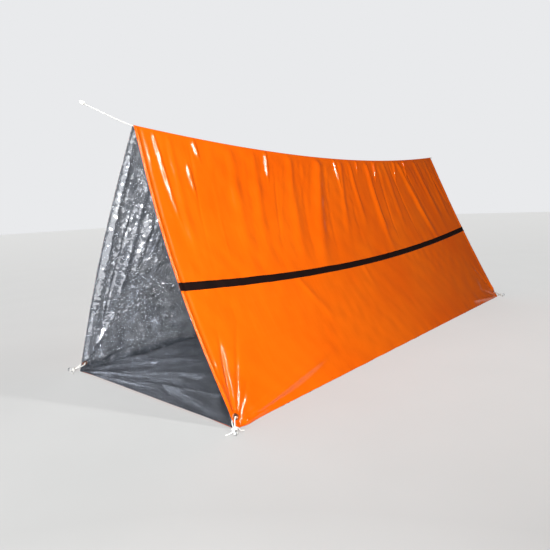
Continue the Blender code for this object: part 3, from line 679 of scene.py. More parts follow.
def end_lift(along):
    """The floor's cut ends stand a little off the ground."""
    distance = np.minimum(along, 1 - along) * TUBE_LENGTH
    return END_LIFT * np.exp(-distance / END_LIFT_REACH)


def floor_points(across, along, inside):
    """Points of the floor film between the feet of both walls."""
    foot = np.zeros_like(along)
    left = wall_points(LEFT, along, foot, -FILM_LIFT)
    right = wall_points(RIGHT, along, foot, -FILM_LIFT)
    sideways = ease(np.minimum(across, 1 - across) * FLOOR_WIDTH / FLOOR_SIDE_REACH)
    z = FLOOR_UNDERSIDE + end_lift(along) * sideways
    if inside:
        z = z + FLOOR_FILM + floor_height(across, along)
        if across in (0, 1):
            z = left[:, 2]
    x = mix(left[:, 0], right[:, 0], across)
    y = mix(left[:, 1], right[:, 1], across)
    return np.stack((x, y, z), axis=-1)


def hem_points(side, along, turn):
    """The fold of the film at a wall's foot: turn 0 at the wall, 1 at the underside."""
    foot = wall_points(side, along, np.zeros_like(along), 0)
    radius = FOOT_Z - FLOOR_UNDERSIDE
    angle = mix(HEM_ANGLE, math.radians(-90), turn)
    x = foot[:, 0] + side * radius * (math.cos(angle) - math.cos(HEM_ANGLE))
    z = foot[:, 2] * 0 + FLOOR_UNDERSIDE + radius * (1 + math.sin(angle))
    return np.stack((x, foot[:, 1], np.minimum(z, foot[:, 2])), axis=-1)


def eyelet_seat(corner):
    """Centre on the film's middle and outward direction of a packed eyelet, from its own mesh."""
    points = np.array([v.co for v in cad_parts[f"eyelet_{corner}"].data.vertices])
    centre = points.mean(axis=0)
    normal = Vector(np.linalg.svd(points - centre, full_matrices=False)[2][2])
    if normal.x * centre[0] < 0:
        normal = -normal
    top = max((Vector(point) - Vector(centre)).dot(normal) for point in points)
    return Vector(centre) + normal * (top - EYELET_FACE - EYELET_CROWN), normal


# An eyelet's flange and crown over the film's middle, the corners, and the hole in the film
EYELET_FACE = PACKED_FILM / 2 + GAP
EYELET_CROWN = 0.0012
CORNERS = {
    "front_right": (RIGHT, FRONT),
    "front_left": (LEFT, FRONT),
    "rear_right": (RIGHT, REAR),
    "rear_left": (LEFT, REAR),
}
SEATS = {corner: eyelet_seat(corner) for corner in CORNERS}
HOLE_RADIUS = 0.0070


def punch_holes(builder):
    """Opens the film at each eyelet and draws the hole's rim to a circle under the flange."""
    for centre, normal in SEATS.values():
        inside = [vert for vert in builder.verts if (vert.co - centre).length < HOLE_RADIUS]
        bmesh.ops.delete(builder, geom=inside, context="VERTS")
        for vert in builder.verts:
            spoke = vert.co - centre
            if vert.is_boundary and spoke.length < 2 * HOLE_RADIUS:
                height = spoke.dot(normal)
                level = (spoke - normal * height).normalized()
                vert.co = centre + level * HOLE_RADIUS + normal * height


def make_orange_skin(material):
    """The whole tube from outside, with a rim at both cut ends that meets the silver side."""
    along = np.concatenate(([0], ALONG, [1]))
    lift = np.full_like(along, FILM_LIFT)
    lift[0] = lift[-1] = -FILM_LIFT
    padded_rows = [np.concatenate((row[:1], row, row[-1:])) for row in WALL_ROWS]
    rows = [wall_points(RIGHT, along, up, lift) for up in padded_rows]
    rows += [ridge_points(step / RIDGE_STEPS, along, lift) for step in range(RIDGE_STEPS + 1)]
    rows += [wall_points(LEFT, along, up, lift) for up in reversed(padded_rows)]
    rows += [hem_points(LEFT, along, step / HEM_STEPS) for step in range(1, HEM_STEPS + 1)]
    for step in range(UNDER_STEPS + 1):
        across = mix(UNDER_EDGE, 1 - UNDER_EDGE, step / UNDER_STEPS)
        rows.append(floor_points(across, along, False))
    rows += [hem_points(RIGHT, along, 1 - step / HEM_STEPS) for step in range(HEM_STEPS)]
    rows.append(rows[0])
    builder = grid_sheet(rows)
    bmesh.ops.remove_doubles(builder, verts=builder.verts[:], dist=FILM_MERGE)
    turn_faces(builder, outwards=True)
    punch_holes(builder)
    return finish_mesh("film_tube_orange_side", builder, material, "tent")


orange_skin = make_orange_skin(orange_film())


# Film tube, silver side
# The same film seen from inside: aluminium a few hundredths of a micrometre thick, evaporated on
# the plastic, so every facet of the crumpled film is a dull mirror. Walls and floor are two pieces.

# Flat facets between creases: their size, and how steeply they tilt
FACETS = ((0.055, 0.22), (0.020, 0.50), (0.008, 0.50))
FACET_WARP = 0.35
HAZE_PATCH = 0.1111

# The floor's base colour is darker than the walls': painted shade for the little light that the
# aluminium lets through the walls from outside and not through the floor
FLOOR_SHADE_COLOUR = "#9599A1"

# The film is smooth at its cut ends and on the floor, and most crumpled just inside an opening
FACET_FADE = (1.17, 1.214)
END_FACETS = 0.15
FLOOR_ZONE = (0.02, 0.06)
FLOOR_FACETS = 0.45
MOUTH_ZONE = (0.92, 1.10)
MOUTH_HEIGHT = 0.58
MOUTH_SPREAD = (0.10, 0.22)
MOUTH_FACETS = 1.05


def facet_height(material, place, size, slope):
    """Height of crumpled film: each cell of a 3-D pattern is a plane that tilts its own way."""
    at = {"Vector": place}
    bend = add_node(material, "ShaderNodeTexNoise", at, scale=1 / size, detail=2.0)
    warp = {0: bend.outputs["Color"], "Scale": size * FACET_WARP}
    shift = add_node(material, "ShaderNodeVectorMath", warp, operation="SCALE").outputs[0]
    warped = add_node(material, "ShaderNodeVectorMath", (place, shift), operation="ADD").outputs[0]
    cell = add_node(material, "ShaderNodeTexVoronoi", {"Vector": warped}, scale=1 / size).outputs
    spots = (warped, cell["Position"])
    off = add_node(material, "ShaderNodeVectorMath", spots, operation="SUBTRACT").outputs[0]
    ways = (cell["Color"], (0.5, 0.5, 0.5))
    tilt = add_node(material, "ShaderNodeVectorMath", ways, operation="SUBTRACT").outputs[0]
    rise = add_node(material, "ShaderNodeVectorMath", (off, tilt), operation="DOT_PRODUCT")
    steps = (rise.outputs["Value"], slope)
    return add_node(material, "ShaderNodeMath", steps, operation="MULTIPLY").outputs[0]


def near_mouth(material, y, z):
    """How much steeper the facets are than elsewhere: most just inside an opening, half way up."""
    inwards = add_node(material, "ShaderNodeMapRange", (y, *MOUTH_ZONE)).outputs["Result"]
    below = add_node(material, "ShaderNodeMath", (z, MOUTH_HEIGHT), operation="SUBTRACT")
    off_level = add_node(material, "ShaderNodeMath", below.outputs[:1], operation="ABSOLUTE")
    spread = (off_level.outputs[0], *MOUTH_SPREAD, 1, 0)
    level = add_node(material, "ShaderNodeMapRange", spread).outputs["Result"]
    both = add_node(material, "ShaderNodeMath", (inwards, level), operation="MULTIPLY").outputs[0]
    share = add_node(material, "ShaderNodeMapRange", (both, 0, 1, 1, MOUTH_FACETS))
    return share.outputs["Result"]


def silver_film():
    """Vacuum-metallised film: a hazy mirror, broken into facets by packing creases."""
    material, shader, place = new_material("metallised_film", "#DADCE0", 0.20, 0.78)
    at = {"Vector": place}
    haze = add_node(material, "ShaderNodeTexNoise", at, scale=1 / HAZE_PATCH, detail=5.0)
    haze = haze.outputs["Fac"]
    _, y, z = add_node(material, "ShaderNodeSeparateXYZ", (place,)).outputs
    share = add_node(material, "ShaderNodeMapRange", (haze, 0.3, 0.7)).outputs["Result"]
    colours = {"Factor": share, 6: linear("#C3C7CF"), 7: linear("#D8DBE0")}
    bare = add_node(material, "ShaderNodeMix", colours, data_type="RGBA").outputs[2]
    # Painted shade: the floor zone gets the darker floor shade colour in place of the bare film's
    share = add_node(material, "ShaderNodeMapRange", (z, *FLOOR_ZONE, 1, 0)).outputs["Result"]
    colours = {"Factor": share, 6: bare, 7: linear(FLOOR_SHADE_COLOUR)}
    with_floor_shade = add_node(material, "ShaderNodeMix", colours, data_type="RGBA").outputs[2]
    material.node_tree.links.new(with_floor_shade, shader.inputs["Base Color"])
    vary_gloss(material, shader, haze, 0.3, 0.7, 0.15, 0.27)
    distance = add_node(material, "ShaderNodeMath", (y,), operation="ABSOLUTE").outputs[0]
    fade = (distance, *FACET_FADE, 1, END_FACETS)
    depth = add_node(material, "ShaderNodeMapRange", fade).outputs["Result"]
    flatter = add_node(material, "ShaderNodeMapRange", (z, *FLOOR_ZONE, FLOOR_FACETS, 1))
    for share in (flatter.outputs["Result"], near_mouth(material, distance, z)):
        steps = (depth, share)
        depth = add_node(material, "ShaderNodeMath", steps, operation="MULTIPLY").outputs[0]
    facets = {"Distance": depth}
    for size, slope in FACETS:
        facets["Height"] = facet_height(material, place, size, slope)
        facets["Normal"] = add_node(material, "ShaderNodeBump", facets, strength=1.0).outputs[0]
    material.node_tree.links.new(facets["Normal"], shader.inputs["Normal"])
    return material


FLOOR_STEPS = 110


def make_silver_walls(material):
    """Both walls and the ridge fold from inside."""
    rows = [wall_points(RIGHT, ALONG, up, -FILM_LIFT) for up in WALL_ROWS]
    rows += [ridge_points(step / RIDGE_STEPS, ALONG, -FILM_LIFT) for step in range(RIDGE_STEPS + 1)]
    rows += [wall_points(LEFT, ALONG, up, -FILM_LIFT) for up in reversed(WALL_ROWS)]
    builder = grid_sheet(rows)
    turn_faces(builder, outwards=False)
    punch_holes(builder)
    return finish_mesh("film_tube_silver_walls", builder, material, "tent")


def make_silver_floor(material):
    """The floor from inside, foot to foot, with its cut ends turned down over the orange side."""
    along = np.concatenate(([0], ALONG, [1]))
    rows = []
    for step in range(FLOOR_STEPS + 1):
        row = floor_points(step / FLOOR_STEPS, along, True)
        under = floor_points(step / FLOOR_STEPS, along, False)
        row[[0, -1], 2] = np.minimum(under, row)[[0, -1], 2]
        rows.append(row)
    builder = grid_sheet(rows)
    turn_faces(builder, outwards=False)
    return finish_mesh("film_tube_silver_floor", builder, material, "tent")


metallised_film = silver_film()
silver_walls = make_silver_walls(metallised_film)
silver_floor = make_silver_floor(metallised_film)
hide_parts("film_right_wall", "film_left_wall")
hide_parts("film_floor")


# Black bands
# A matte black tape, 30 mm wide, is welded along the middle of each wall. It holds the film a
# little tighter than the film beside it, which puckers along both edges.

BAND_LIFT = 0.0009
BAND_THICKNESS = 0.0004
TAPE_GRAIN = 0.0035
TAPE_SCUFF = 0.07143


def black_tape():
    """Carbon-black polyethylene tape with a dull calendered face."""
    material, shader, place = new_material("black_tape", "#0E0A08", 0.55)
    shader.inputs["Specular IOR Level"].default_value = 0.1
    at = {"Vector": place}
    grain = add_node(material, "ShaderNodeTexNoise", at, scale=1 / TAPE_GRAIN, detail=3.0)
    scuffs = add_node(material, "ShaderNodeTexNoise", at, scale=1 / TAPE_SCUFF, detail=5.0)
    vary_colour(material, shader, scuffs.outputs["Fac"], 0.45, 0.75, "#160806", "#1E0E0B")
    vary_gloss(material, shader, scuffs.outputs["Fac"], 0.35, 0.7, 0.60, 0.75)
    height = {"Height": grain.outputs["Fac"]}
    bump = add_node(material, "ShaderNodeBump", height, strength=0.3, distance=0.0002)
    material.node_tree.links.new(bump.outputs[0], shader.inputs["Normal"])
    return material


def make_band(name, side, node, material):
    """A thin strip on the film, with its edges on the film's own mesh rows."""
    low, high = band_edges(ALONG)
    rows = []
    for step in range(BAND_STEPS + 1):
        up = mix(low, high, step / BAND_STEPS) / WALL_HEIGHT
        rows.append(wall_points(side, ALONG, up, BAND_LIFT))
    builder = grid_sheet(rows)
    turn_faces(builder, outwards=True)
    piece = finish_mesh(name, builder, material, "tent")
    wall = piece.modifiers.new("thickness", "SOLIDIFY")
    wall.thickness = BAND_THICKNESS
    wall.offset = -1
    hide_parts(node)
    return piece


tape = black_tape()
bands = [
    make_band("tape_right", RIGHT, "stripe_right", tape),
    make_band("tape_left", LEFT, "stripe_left", tape),
]


# Ridge cord
# Braided polyester cord, 4 mm thick, strung level between two supports. Sixteen carriers plait
# the sheath round a straight core, and a stopper of three turns ends the cord on each side.

FRONT_CORD_REACH = 0.185
FRONT_CORD_RISE = 0.056
FRONT_CORD_KNEE = 0.025
REAR_CORD_REACH = 0.020
FRONT_CORD_STEPS = 36
RIDGE_CORD_STEPS = 60

# Turns of a stopper or a binding, one cord and a gap apart
WRAP_TURNS = 2.5
WRAP_STEPS = 24
CORD_GAP = 0.0005
WRAP_PITCH = CORD_DIAMETER + CORD_GAP

# The braid: its strands each way, their lay as a share of the cord's girth, how round a strand
# is, and the height where the strand above starts to dip
BRAID_STRANDS = 8
BRAID_LAY = 1.7
BRAID_ROUNDNESS = 0.7
BRAID_DIP = 0.55
BRAID_DEPTH = 0.00018
YARN = 0.0004

# Spacing of the mesh round and along a cord. In the ridge fold only the last stretch is braided.
CORD_SIDES = 24
BRAID_STEP = 0.00045
PLAIN_CORD_STEP = 0.004
BRAIDED_IN_FOLD = 0.03
BRAID_LEAD = 0.003
CORD_MERGE = 0.000005
END_ROUNDING = 0.0016
END_FLAT = 0.02
FIRST_SIDE = (0.31, 0.17, 0.93)


def braid_crest(turn, distance):
    """1 on top of a strand, 0 in the groove between: two sets of strands cross over and under."""
    lay = BRAID_STRANDS * distance / (math.pi * CORD_DIAMETER * BRAID_LAY)
    first = BRAID_STRANDS * turn + lay
    second = BRAID_STRANDS * turn - lay
    first_crest = np.sin(math.pi * (first % 1)) ** BRAID_ROUNDNESS
    second_crest = np.sin(math.pi * (second % 1)) ** BRAID_ROUNDNESS
    first_over = (np.floor(first) + np.floor(second)) % 2 == 0
    top = np.where(first_over, first_crest, second_crest)
    under = np.where(first_over, second_crest, first_crest)
    return top * mix(BRAID_DIP, 1, under)


def smooth_route(knots, steps, closed=False):
    """A smooth curve through the given points, with so many steps between each two of them."""
    count = len(knots)
    route = []
    for span in range(count if closed else count - 1):
        start, end = knots[span], knots[(span + 1) % count]
        before = knots[span - 1] if closed or span else start * 2 - end
        last = not closed and span + 2 >= count
        after = end * 2 - start if last else knots[(span + 2) % count]
        for step in range(steps):
            t = step / steps
            pull = (end - before) * t + (before * 2 - start * 5 + end * 4 - after) * t**2
            bend = (start * 3 - before - end * 3 + after) * t**3
            route.append(start + (pull + bend) / 2)
    return route if closed else route + [knots[-1]]


def spaced_route(route, distances):
    """Points at the given distances along a route of points."""
    points = np.array([tuple(point) for point in route])
    legs = np.linalg.norm(np.diff(points, axis=0), axis=1)
    travelled = np.concatenate(([0], np.cumsum(legs)))
    return np.stack([np.interp(distances, travelled, row) for row in points.T], axis=1)


def route_length(route):
    """Length of a route of points."""
    return sum((after - before).length for before, after in zip(route, route[1:]))


def carried_frames(points, closed):
    """Heading and a side direction at each point, carried along the route without twisting."""
    ahead = np.roll(points, -1, axis=0) - points
    if closed:
        headings = ahead + np.roll(ahead, 1, axis=0)
    else:
        ahead[-1] = ahead[-2]
        headings = ahead.copy()
        headings[1:] += ahead[:-1]
    headings /= np.linalg.norm(headings, axis=1)[:, None]
    side = np.cross(headings[0], FIRST_SIDE)
    sides = []
    for heading in headings:
        side = side - heading * (side @ heading)
        side /= np.linalg.norm(side)
        sides.append(side)
    sides = np.array(sides)
    overs = np.cross(headings, sides)
    if closed:
        carried = side - headings[0] * (side @ headings[0])
        twist = math.atan2(carried @ overs[0], carried @ sides[0])
        angles = -twist * np.arange(len(points)) / len(points)
        turned = sides * np.cos(angles)[:, None] + overs * np.sin(angles)[:, None]
        return turned, np.cross(headings, turned)
    return sides, overs


def lay_tube(route, distances, radius_at, sides, closed=False, crest_at=None):
    """A tube along a route. crest_at shapes its surface, and is kept as the crest attribute."""
    points = spaced_route(route + route[:1] if closed else route, distances)
    side, over = carried_frames(points, closed)
    turns = np.arange(sides) / sides
    rows = []
    crests = []
    for index, distance in enumerate(distances):
        crest = crest_at(turns, distance) if crest_at else np.ones(sides)
        reach = radius_at(distance) - (1 - crest) * BRAID_DEPTH
        spokes = np.outer(np.cos(2 * math.pi * turns) * reach, side[index])
        spokes += np.outer(np.sin(2 * math.pi * turns) * reach, over[index])
        rows.append(np.vstack((points[index] + spokes, points[index] + spokes[:1])))
        crests.append(np.append(crest, crest[0]))
    if closed:
        rows.append(rows[0])
        crests.append(crests[0])
    builder = grid_sheet(rows)
    layer = builder.verts.layers.float.new("crest")
    builder.verts.ensure_lookup_table()
    for index, crest in enumerate(np.concatenate(crests)):
        builder.verts[index][layer] = crest
    bmesh.ops.remove_doubles(builder, verts=builder.verts[:], dist=CORD_MERGE)
    if not closed:
        ends = [edge for edge in builder.edges if edge.is_boundary]
        bmesh.ops.holes_fill(builder, edges=ends, sides=0)
    bmesh.ops.recalc_face_normals(builder, faces=builder.faces[:])
    return builder


def round_ends(length, start, end):
    """Radius of a cord whose cut ends are melted round, by distance along it."""

    def radius_at(distance):
        from_start = distance / END_ROUNDING if start else 1
        from_end = (length - distance) / END_ROUNDING if end else 1
        held = min(max(min(from_start, from_end), 0.0), 1)
        return CORD_RADIUS * math.sqrt(max(1 - (1 - held) ** 2, END_FLAT))

    return radius_at


def white_braid():
    """Bright polyester yarn: matte, with painted shade that greys it a little down in the grooves
    of the braid.
    """
    material, shader, place = new_material("white_polyester_braid", "#E9E9E2", 0.78)
    shader.inputs["Sheen Weight"].default_value = 0.25
    crest = add_node(material, "ShaderNodeAttribute", attribute_name="crest")
    # Painted shade: the yarn greys from the strands' crests down into the grooves between them
    vary_colour(material, shader, crest.outputs["Fac"], 0.15, 0.8, "#C9C7BE", "#F6F6F2")
    at = {"Vector": place}
    fibres = add_node(material, "ShaderNodeTexNoise", at, scale=1 / YARN, detail=2.0)
    height = {"Height": fibres.outputs["Fac"]}
    bump = add_node(material, "ShaderNodeBump", height, strength=0.4, distance=0.0001)
    material.node_tree.links.new(bump.outputs[0], shader.inputs["Normal"])
    return material


def cord_point(along):
    """A point of the cord's centre line inside the ridge fold."""
    y, z = ridge_place(along)
    return Vector((0, y, z))


def wrap_route(centre, axis, half_width, half_height, turns, width_direction):
    """Turns of cord round a core: an even helix on an oval, one cord and a gap apart."""
    height_direction = axis.cross(width_direction).normalized()
    route = []
    for step in range(round(turns * WRAP_STEPS) + 1):
        angle = 2 * math.pi * step / WRAP_STEPS
        across = width_direction * (math.cos(angle) * half_width)
        over = height_direction * (math.sin(angle) * half_height)
        on = axis * (WRAP_PITCH * (step / WRAP_STEPS - turns / 2))
        route.append(centre + across + over + on)
    return route


def make_cord(name, node, route, start_round=True, end_round=True, hidden=0.0, closed=False):
    """A braided cord along a route. Its hidden stretch at the start stays a plain tube."""
    if closed:
        length = route_length(route + route[:1])
        cells = round(length / BRAID_STEP)
        distances = np.arange(cells) * (length / cells)
        radius_at = round_ends(length, False, False)
    else:
        length = route_length(route)
        plain = np.arange(0, hidden, PLAIN_CORD_STEP)
        braided = np.linspace(hidden, length, round((length - hidden) / BRAID_STEP))
        distances = np.concatenate((plain, braided))
        radius_at = round_ends(length, start_round, end_round)

    def crest_at(turns, distance):
        if distance > hidden - BRAID_LEAD:
            return braid_crest(turns, distance)
        return np.ones(len(turns))

    builder = lay_tube(route, distances, radius_at, CORD_SIDES, closed, crest_at)
    piece = finish_mesh(name, builder, braid, "tent")
    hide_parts(node)
    return piece


braid = white_braid()
front_start = cord_point(0)
front_slope = (front_start - cord_point(1 / RIDGE_CORD_STEPS)).normalized()
front_end = front_start + Vector((0, -FRONT_CORD_REACH, FRONT_CORD_RISE))
front_knee = front_start + front_slope * FRONT_CORD_KNEE
front_exit = front_start + front_slope * GAP
front_route = []
for front_step in range(FRONT_CORD_STEPS + 1):
    t = front_step / FRONT_CORD_STEPS
    near = front_exit * (1 - t) ** 2 + front_knee * 2 * t * (1 - t)
    front_route.append(near + front_end * t**2)

ridge_route = [cord_point(step / RIDGE_CORD_STEPS) for step in range(RIDGE_CORD_STEPS + 1)]
rear_slope = (ridge_route[-1] - ridge_route[-2]).normalized()
ridge_route.append(ridge_route[-1] + rear_slope * REAR_CORD_REACH)
hidden_length = route_length(ridge_route) - REAR_CORD_REACH - BRAIDED_IN_FOLD

ridge_cord = make_cord("ridge_cord_braid", "ridge_cord", ridge_route, False, True, hidden_length)
front_cord = make_cord("front_cord_braid", "ridge_cord_front_end", front_route, False, True)

for stopper_name, stopper_node, stopper_route in (
    ("front_stopper", "front_end_knot", front_route),
    ("rear_stopper", "rear_end_knot", ridge_route),
):
    heading = (stopper_route[-1] - stopper_route[-2]).normalized()
    middle = stopper_route[-1] - heading * ((WRAP_PITCH * WRAP_TURNS + CORD_DIAMETER) / 2)
    level = Vector((1, 0, 0))
    turns_route = wrap_route(middle, heading, WRAP_PITCH, WRAP_PITCH, WRAP_TURNS, level)
    make_cord(stopper_name, stopper_node, turns_route)


# Corner eyelets
# Two-part brass eyelets, copper plated: a flanged barrel through the film from outside, turned
# over a flat washer on the inside by the setting press.

EYELET_SEGMENTS = 64
HOLE_DIAMETER = 0.011
FLANGE_DIAMETER = 0.022
EYELET_METAL = 0.0006
CROWN_RIM_SHARE = 0.3
LIP = 0.0022
ARC_STEPS = 8
TARNISH_PATCH = 0.006
POLISHING_MARK = 0.0006


def copper_plate():
    """Copper-plated brass: warm and bright, with fine polishing marks and a slight tarnish."""
    material, shader, place = new_material("copper_plated_brass", "#D58A66", 0.24, 1)
    at = {"Vector": place}
    tarnish = add_node(material, "ShaderNodeTexNoise", at, scale=1 / TARNISH_PATCH, detail=4.0)
    vary_colour(material, shader, tarnish.outputs["Fac"], 0.4, 0.7, "#DC9270", "#B56E4C")
    vary_gloss(material, shader, tarnish.outputs["Fac"], 0.35, 0.7, 0.18, 0.36)
    marks = add_node(material, "ShaderNodeTexNoise", at, scale=1 / POLISHING_MARK, detail=2.0)
    height = {"Height": marks.outputs["Fac"]}
    bump = add_node(material, "ShaderNodeBump", height, strength=0.2, distance=0.00005)
    material.node_tree.links.new(bump.outputs[0], shader.inputs["Normal"])
    return material


def spin_ring(profile, centre, normal):
    """A closed outline of (radius, height) pairs, turned about an eyelet's axis."""
    builder = bmesh.new()
    outline = [builder.verts.new((radius, 0, height)) for radius, height in profile]
    for start, end in zip(outline, outline[1:] + outline[:1]):
        builder.edges.new((start, end))
    bmesh.ops.spin(
        builder,
        geom=builder.verts[:] + builder.edges[:],
        cent=(0, 0, 0),
        axis=(0, 0, 1),
        angle=math.radians(360),
        steps=EYELET_SEGMENTS,
        use_merge=True,
    )
    bmesh.ops.recalc_face_normals(builder, faces=builder.faces[:])
    turn = Vector((0, 0, 1)).rotation_difference(normal).to_matrix().to_4x4()
    bmesh.ops.transform(builder, matrix=Matrix.Translation(centre) @ turn, verts=builder.verts[:])
    return builder


def arc(centre_radius, centre_height, half_width, half_height, start, end):
    """Points of an elliptic arc in an eyelet's profile, from start to end in degrees."""
    points = []
    for step in range(ARC_STEPS + 1):
        angle = math.radians(mix(start, end, step / ARC_STEPS))
        radius = centre_radius + half_width * math.cos(angle)
        points.append((radius, centre_height + half_height * math.sin(angle)))
    return points


def eyelet_profile():
    """Domed flange outside, straight barrel, and a lip rolled over the washer."""
    bore = HOLE_DIAMETER / 2
    barrel = bore + EYELET_METAL
    flange = FLANGE_DIAMETER / 2
    washer_face = -(EYELET_FACE + EYELET_METAL + GAP)
    lip_end = barrel + LIP
    rim = EYELET_CROWN * CROWN_RIM_SHARE
    rise = EYELET_CROWN * (1 - CROWN_RIM_SHARE)
    dome = arc((bore + flange) / 2, EYELET_FACE + rim, (flange - bore) / 2, rise, 180, 0)
    roll = arc((bore + lip_end) / 2, washer_face, (lip_end - bore) / 2, EYELET_METAL, 0, -180)
    return dome + [(flange, EYELET_FACE), (barrel, EYELET_FACE), (barrel, washer_face)] + roll


def washer_profile():
    """A flat ring with its outer edges broken by the blanking die."""
    bore = HOLE_DIAMETER / 2 + EYELET_METAL + GAP
    rim = FLANGE_DIAMETER / 2
    edge = EYELET_METAL / 4
    top, bottom = -EYELET_FACE, -EYELET_FACE - EYELET_METAL
    return [
        (bore, top),
        (rim - edge, top),
        (rim, top - edge),
        (rim, bottom + edge),
        (rim - edge, bottom),
        (bore, bottom),
    ]


plating = copper_plate()
for corner, (centre, normal) in SEATS.items():
    for piece_name, node, profile in (
        (f"eyelet_barrel_{corner}", f"eyelet_{corner}", eyelet_profile()),
        (f"eyelet_ring_{corner}", f"eyelet_washer_{corner}", washer_profile()),
    ):
        builder = spin_ring(profile, centre, normal)
        ring = finish_mesh(piece_name, builder, plating, "tent")
        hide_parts(node)


# Hook pegs
# Pegs of 4 mm galvanised steel wire, cut to a point and bent to a hook. Each is pushed into the
# ground outside its corner, leaning away from the tent, with the hook turned outwards.

PEG_RADIUS = 0.002
PEG_BURIED_LENGTH = 0.160
PEG_SHOULDER = 0.012
PEG_HOOK_RADIUS = 0.006
PEG_HOOK_END = 0.005
PEG_POINT_LENGTH = 0.014
PEG_TIP_SHARE = 0.15
PEG_LEAN = math.radians(10)
PEG_OFFSET = 0.034
PEG_HOOK_STEPS = 24
PEG_SIDES = 20
PEG_STEP = 0.0015
PEG_END_ROUNDING = 0.0008
PEG_END_SHARE = 0.75
DRAWING_MARK = 0.0005
MARK_STRETCH = 0.06
ZINC_BLOOM = 0.012


def galvanised_wire():
    """Zinc-coated drawn wire: dull grey metal with faint lengthwise drawing marks."""
    material, shader, place = new_material("galvanised_wire", "#B4B7BA", 0.38, 1)
    stretch = {"Vector": place, "Scale": (1, 1, MARK_STRETCH)}
    marks = {"Vector": add_node(material, "ShaderNodeMapping", stretch).outputs[0]}
    drawn = add_node(material, "ShaderNodeTexNoise", marks, scale=1 / DRAWING_MARK, detail=2.0)
    at = {"Vector": place}
    bloom = add_node(material, "ShaderNodeTexNoise", at, scale=1 / ZINC_BLOOM, detail=4.0)
    vary_colour(material, shader, bloom.outputs["Fac"], 0.35, 0.65, "#A3A6A9", "#C3C5C7")
    vary_gloss(material, shader, bloom.outputs["Fac"], 0.35, 0.65, 0.3, 0.46)
    height = {"Height": drawn.outputs["Fac"]}
    bump = add_node(material, "ShaderNodeBump", height, strength=0.3, distance=0.00008)
    material.node_tree.links.new(bump.outputs[0], shader.inputs["Normal"])
    return material


def outward_direction(side, end):
    """Level direction away from the tent at a corner."""
    angle = math.atan2(end, side)
    return Vector((math.cos(angle), math.sin(angle), 0))


def peg_place(side, end):
    """Where a peg's axis meets the ground."""
    corner_point = Vector((side * FLOOR_WIDTH / 2, end * TUBE_LENGTH / 2, 0))
    return corner_point + outward_direction(side, end) * PEG_OFFSET


def peg_route(side, end):
    """Centre line of a peg, from its point to the end of its hook."""
    heights = even_steps(-PEG_BURIED_LENGTH, PEG_SHOULDER, PEG_POINT_LENGTH)
    route = [Vector((0, 0, height)) for height in heights]
    for step in range(PEG_HOOK_STEPS + 1):
        angle = math.pi * step / PEG_HOOK_STEPS
        across = PEG_HOOK_RADIUS * (1 - math.cos(angle))
        route.append(Vector((across, 0, PEG_SHOULDER + PEG_HOOK_RADIUS * math.sin(angle))))
    route.append(Vector((2 * PEG_HOOK_RADIUS, 0, PEG_SHOULDER - PEG_HOOK_END)))
    turn = Matrix.Rotation(math.atan2(end, side), 3, "Z") @ Matrix.Rotation(PEG_LEAN, 3, "Y")
    return [peg_place(side, end) + turn @ point for point in route]


def peg_radius(length):
    """Radius of the wire by distance from its point, with its cut end slightly rounded."""

    def radius_at(distance):
        point = mix(PEG_TIP_SHARE, 1, min(distance / PEG_POINT_LENGTH, 1))
        left = min((length - distance) / PEG_END_ROUNDING, 1)
        return PEG_RADIUS * point * mix(PEG_END_SHARE, 1, math.sqrt(max(left, 0)))

    return radius_at


galvanised = galvanised_wire()
for corner, (side, end) in CORNERS.items():
    wire_route = peg_route(side, end)
    wire_length = route_length(wire_route)
    wire_distances = np.linspace(0, wire_length, round(wire_length / PEG_STEP))
    wire = lay_tube(wire_route, wire_distances, peg_radius(wire_length), PEG_SIDES)
    peg = finish_mesh(f"wire_peg_{corner}", wire, galvanised, f"peg_{corner}")
    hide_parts(f"peg_{corner}")


# Corner ties
# A loop of the same braid runs through each eyelet and round the peg. Turns of its own ends bind
# the two strands between them, and the ends lie on the ground.

TIE_HEIGHT_AT_PEG = 0.0055
TIE_EYELET_TURN = 0.0065
TIE_FORWARD_PULL = 0.026
TIE_DOWNWARD_PULL = 0.010
TIE_PEG_PULL = 0.012
TIE_PEG_DROP = 0.006
TIE_TAIL_LENGTH = 0.024
TIE_SLACK = 0.0012
TIE_BINDING_GAP = 0.0008
PEG_TURN = PEG_RADIUS + CORD_RADIUS + TIE_SLACK
TIE_WAIST = CORD_RADIUS + CORD_GAP / 2
DIAGONAL_SHARE = math.sqrt(0.5)
TIE_NECK_SHARE = 0.2
TAIL_BEND_SHARE = 1 / 6
TAIL_TOUCH_SHARE = 0.5
TAIL_HEIGHT_SHARE = 0.2
TIE_LENGTH_STEPS = 60
LOOP_STEPS = 12
TAIL_STEPS = 10
CUT_EDGE_REACH = 0.08


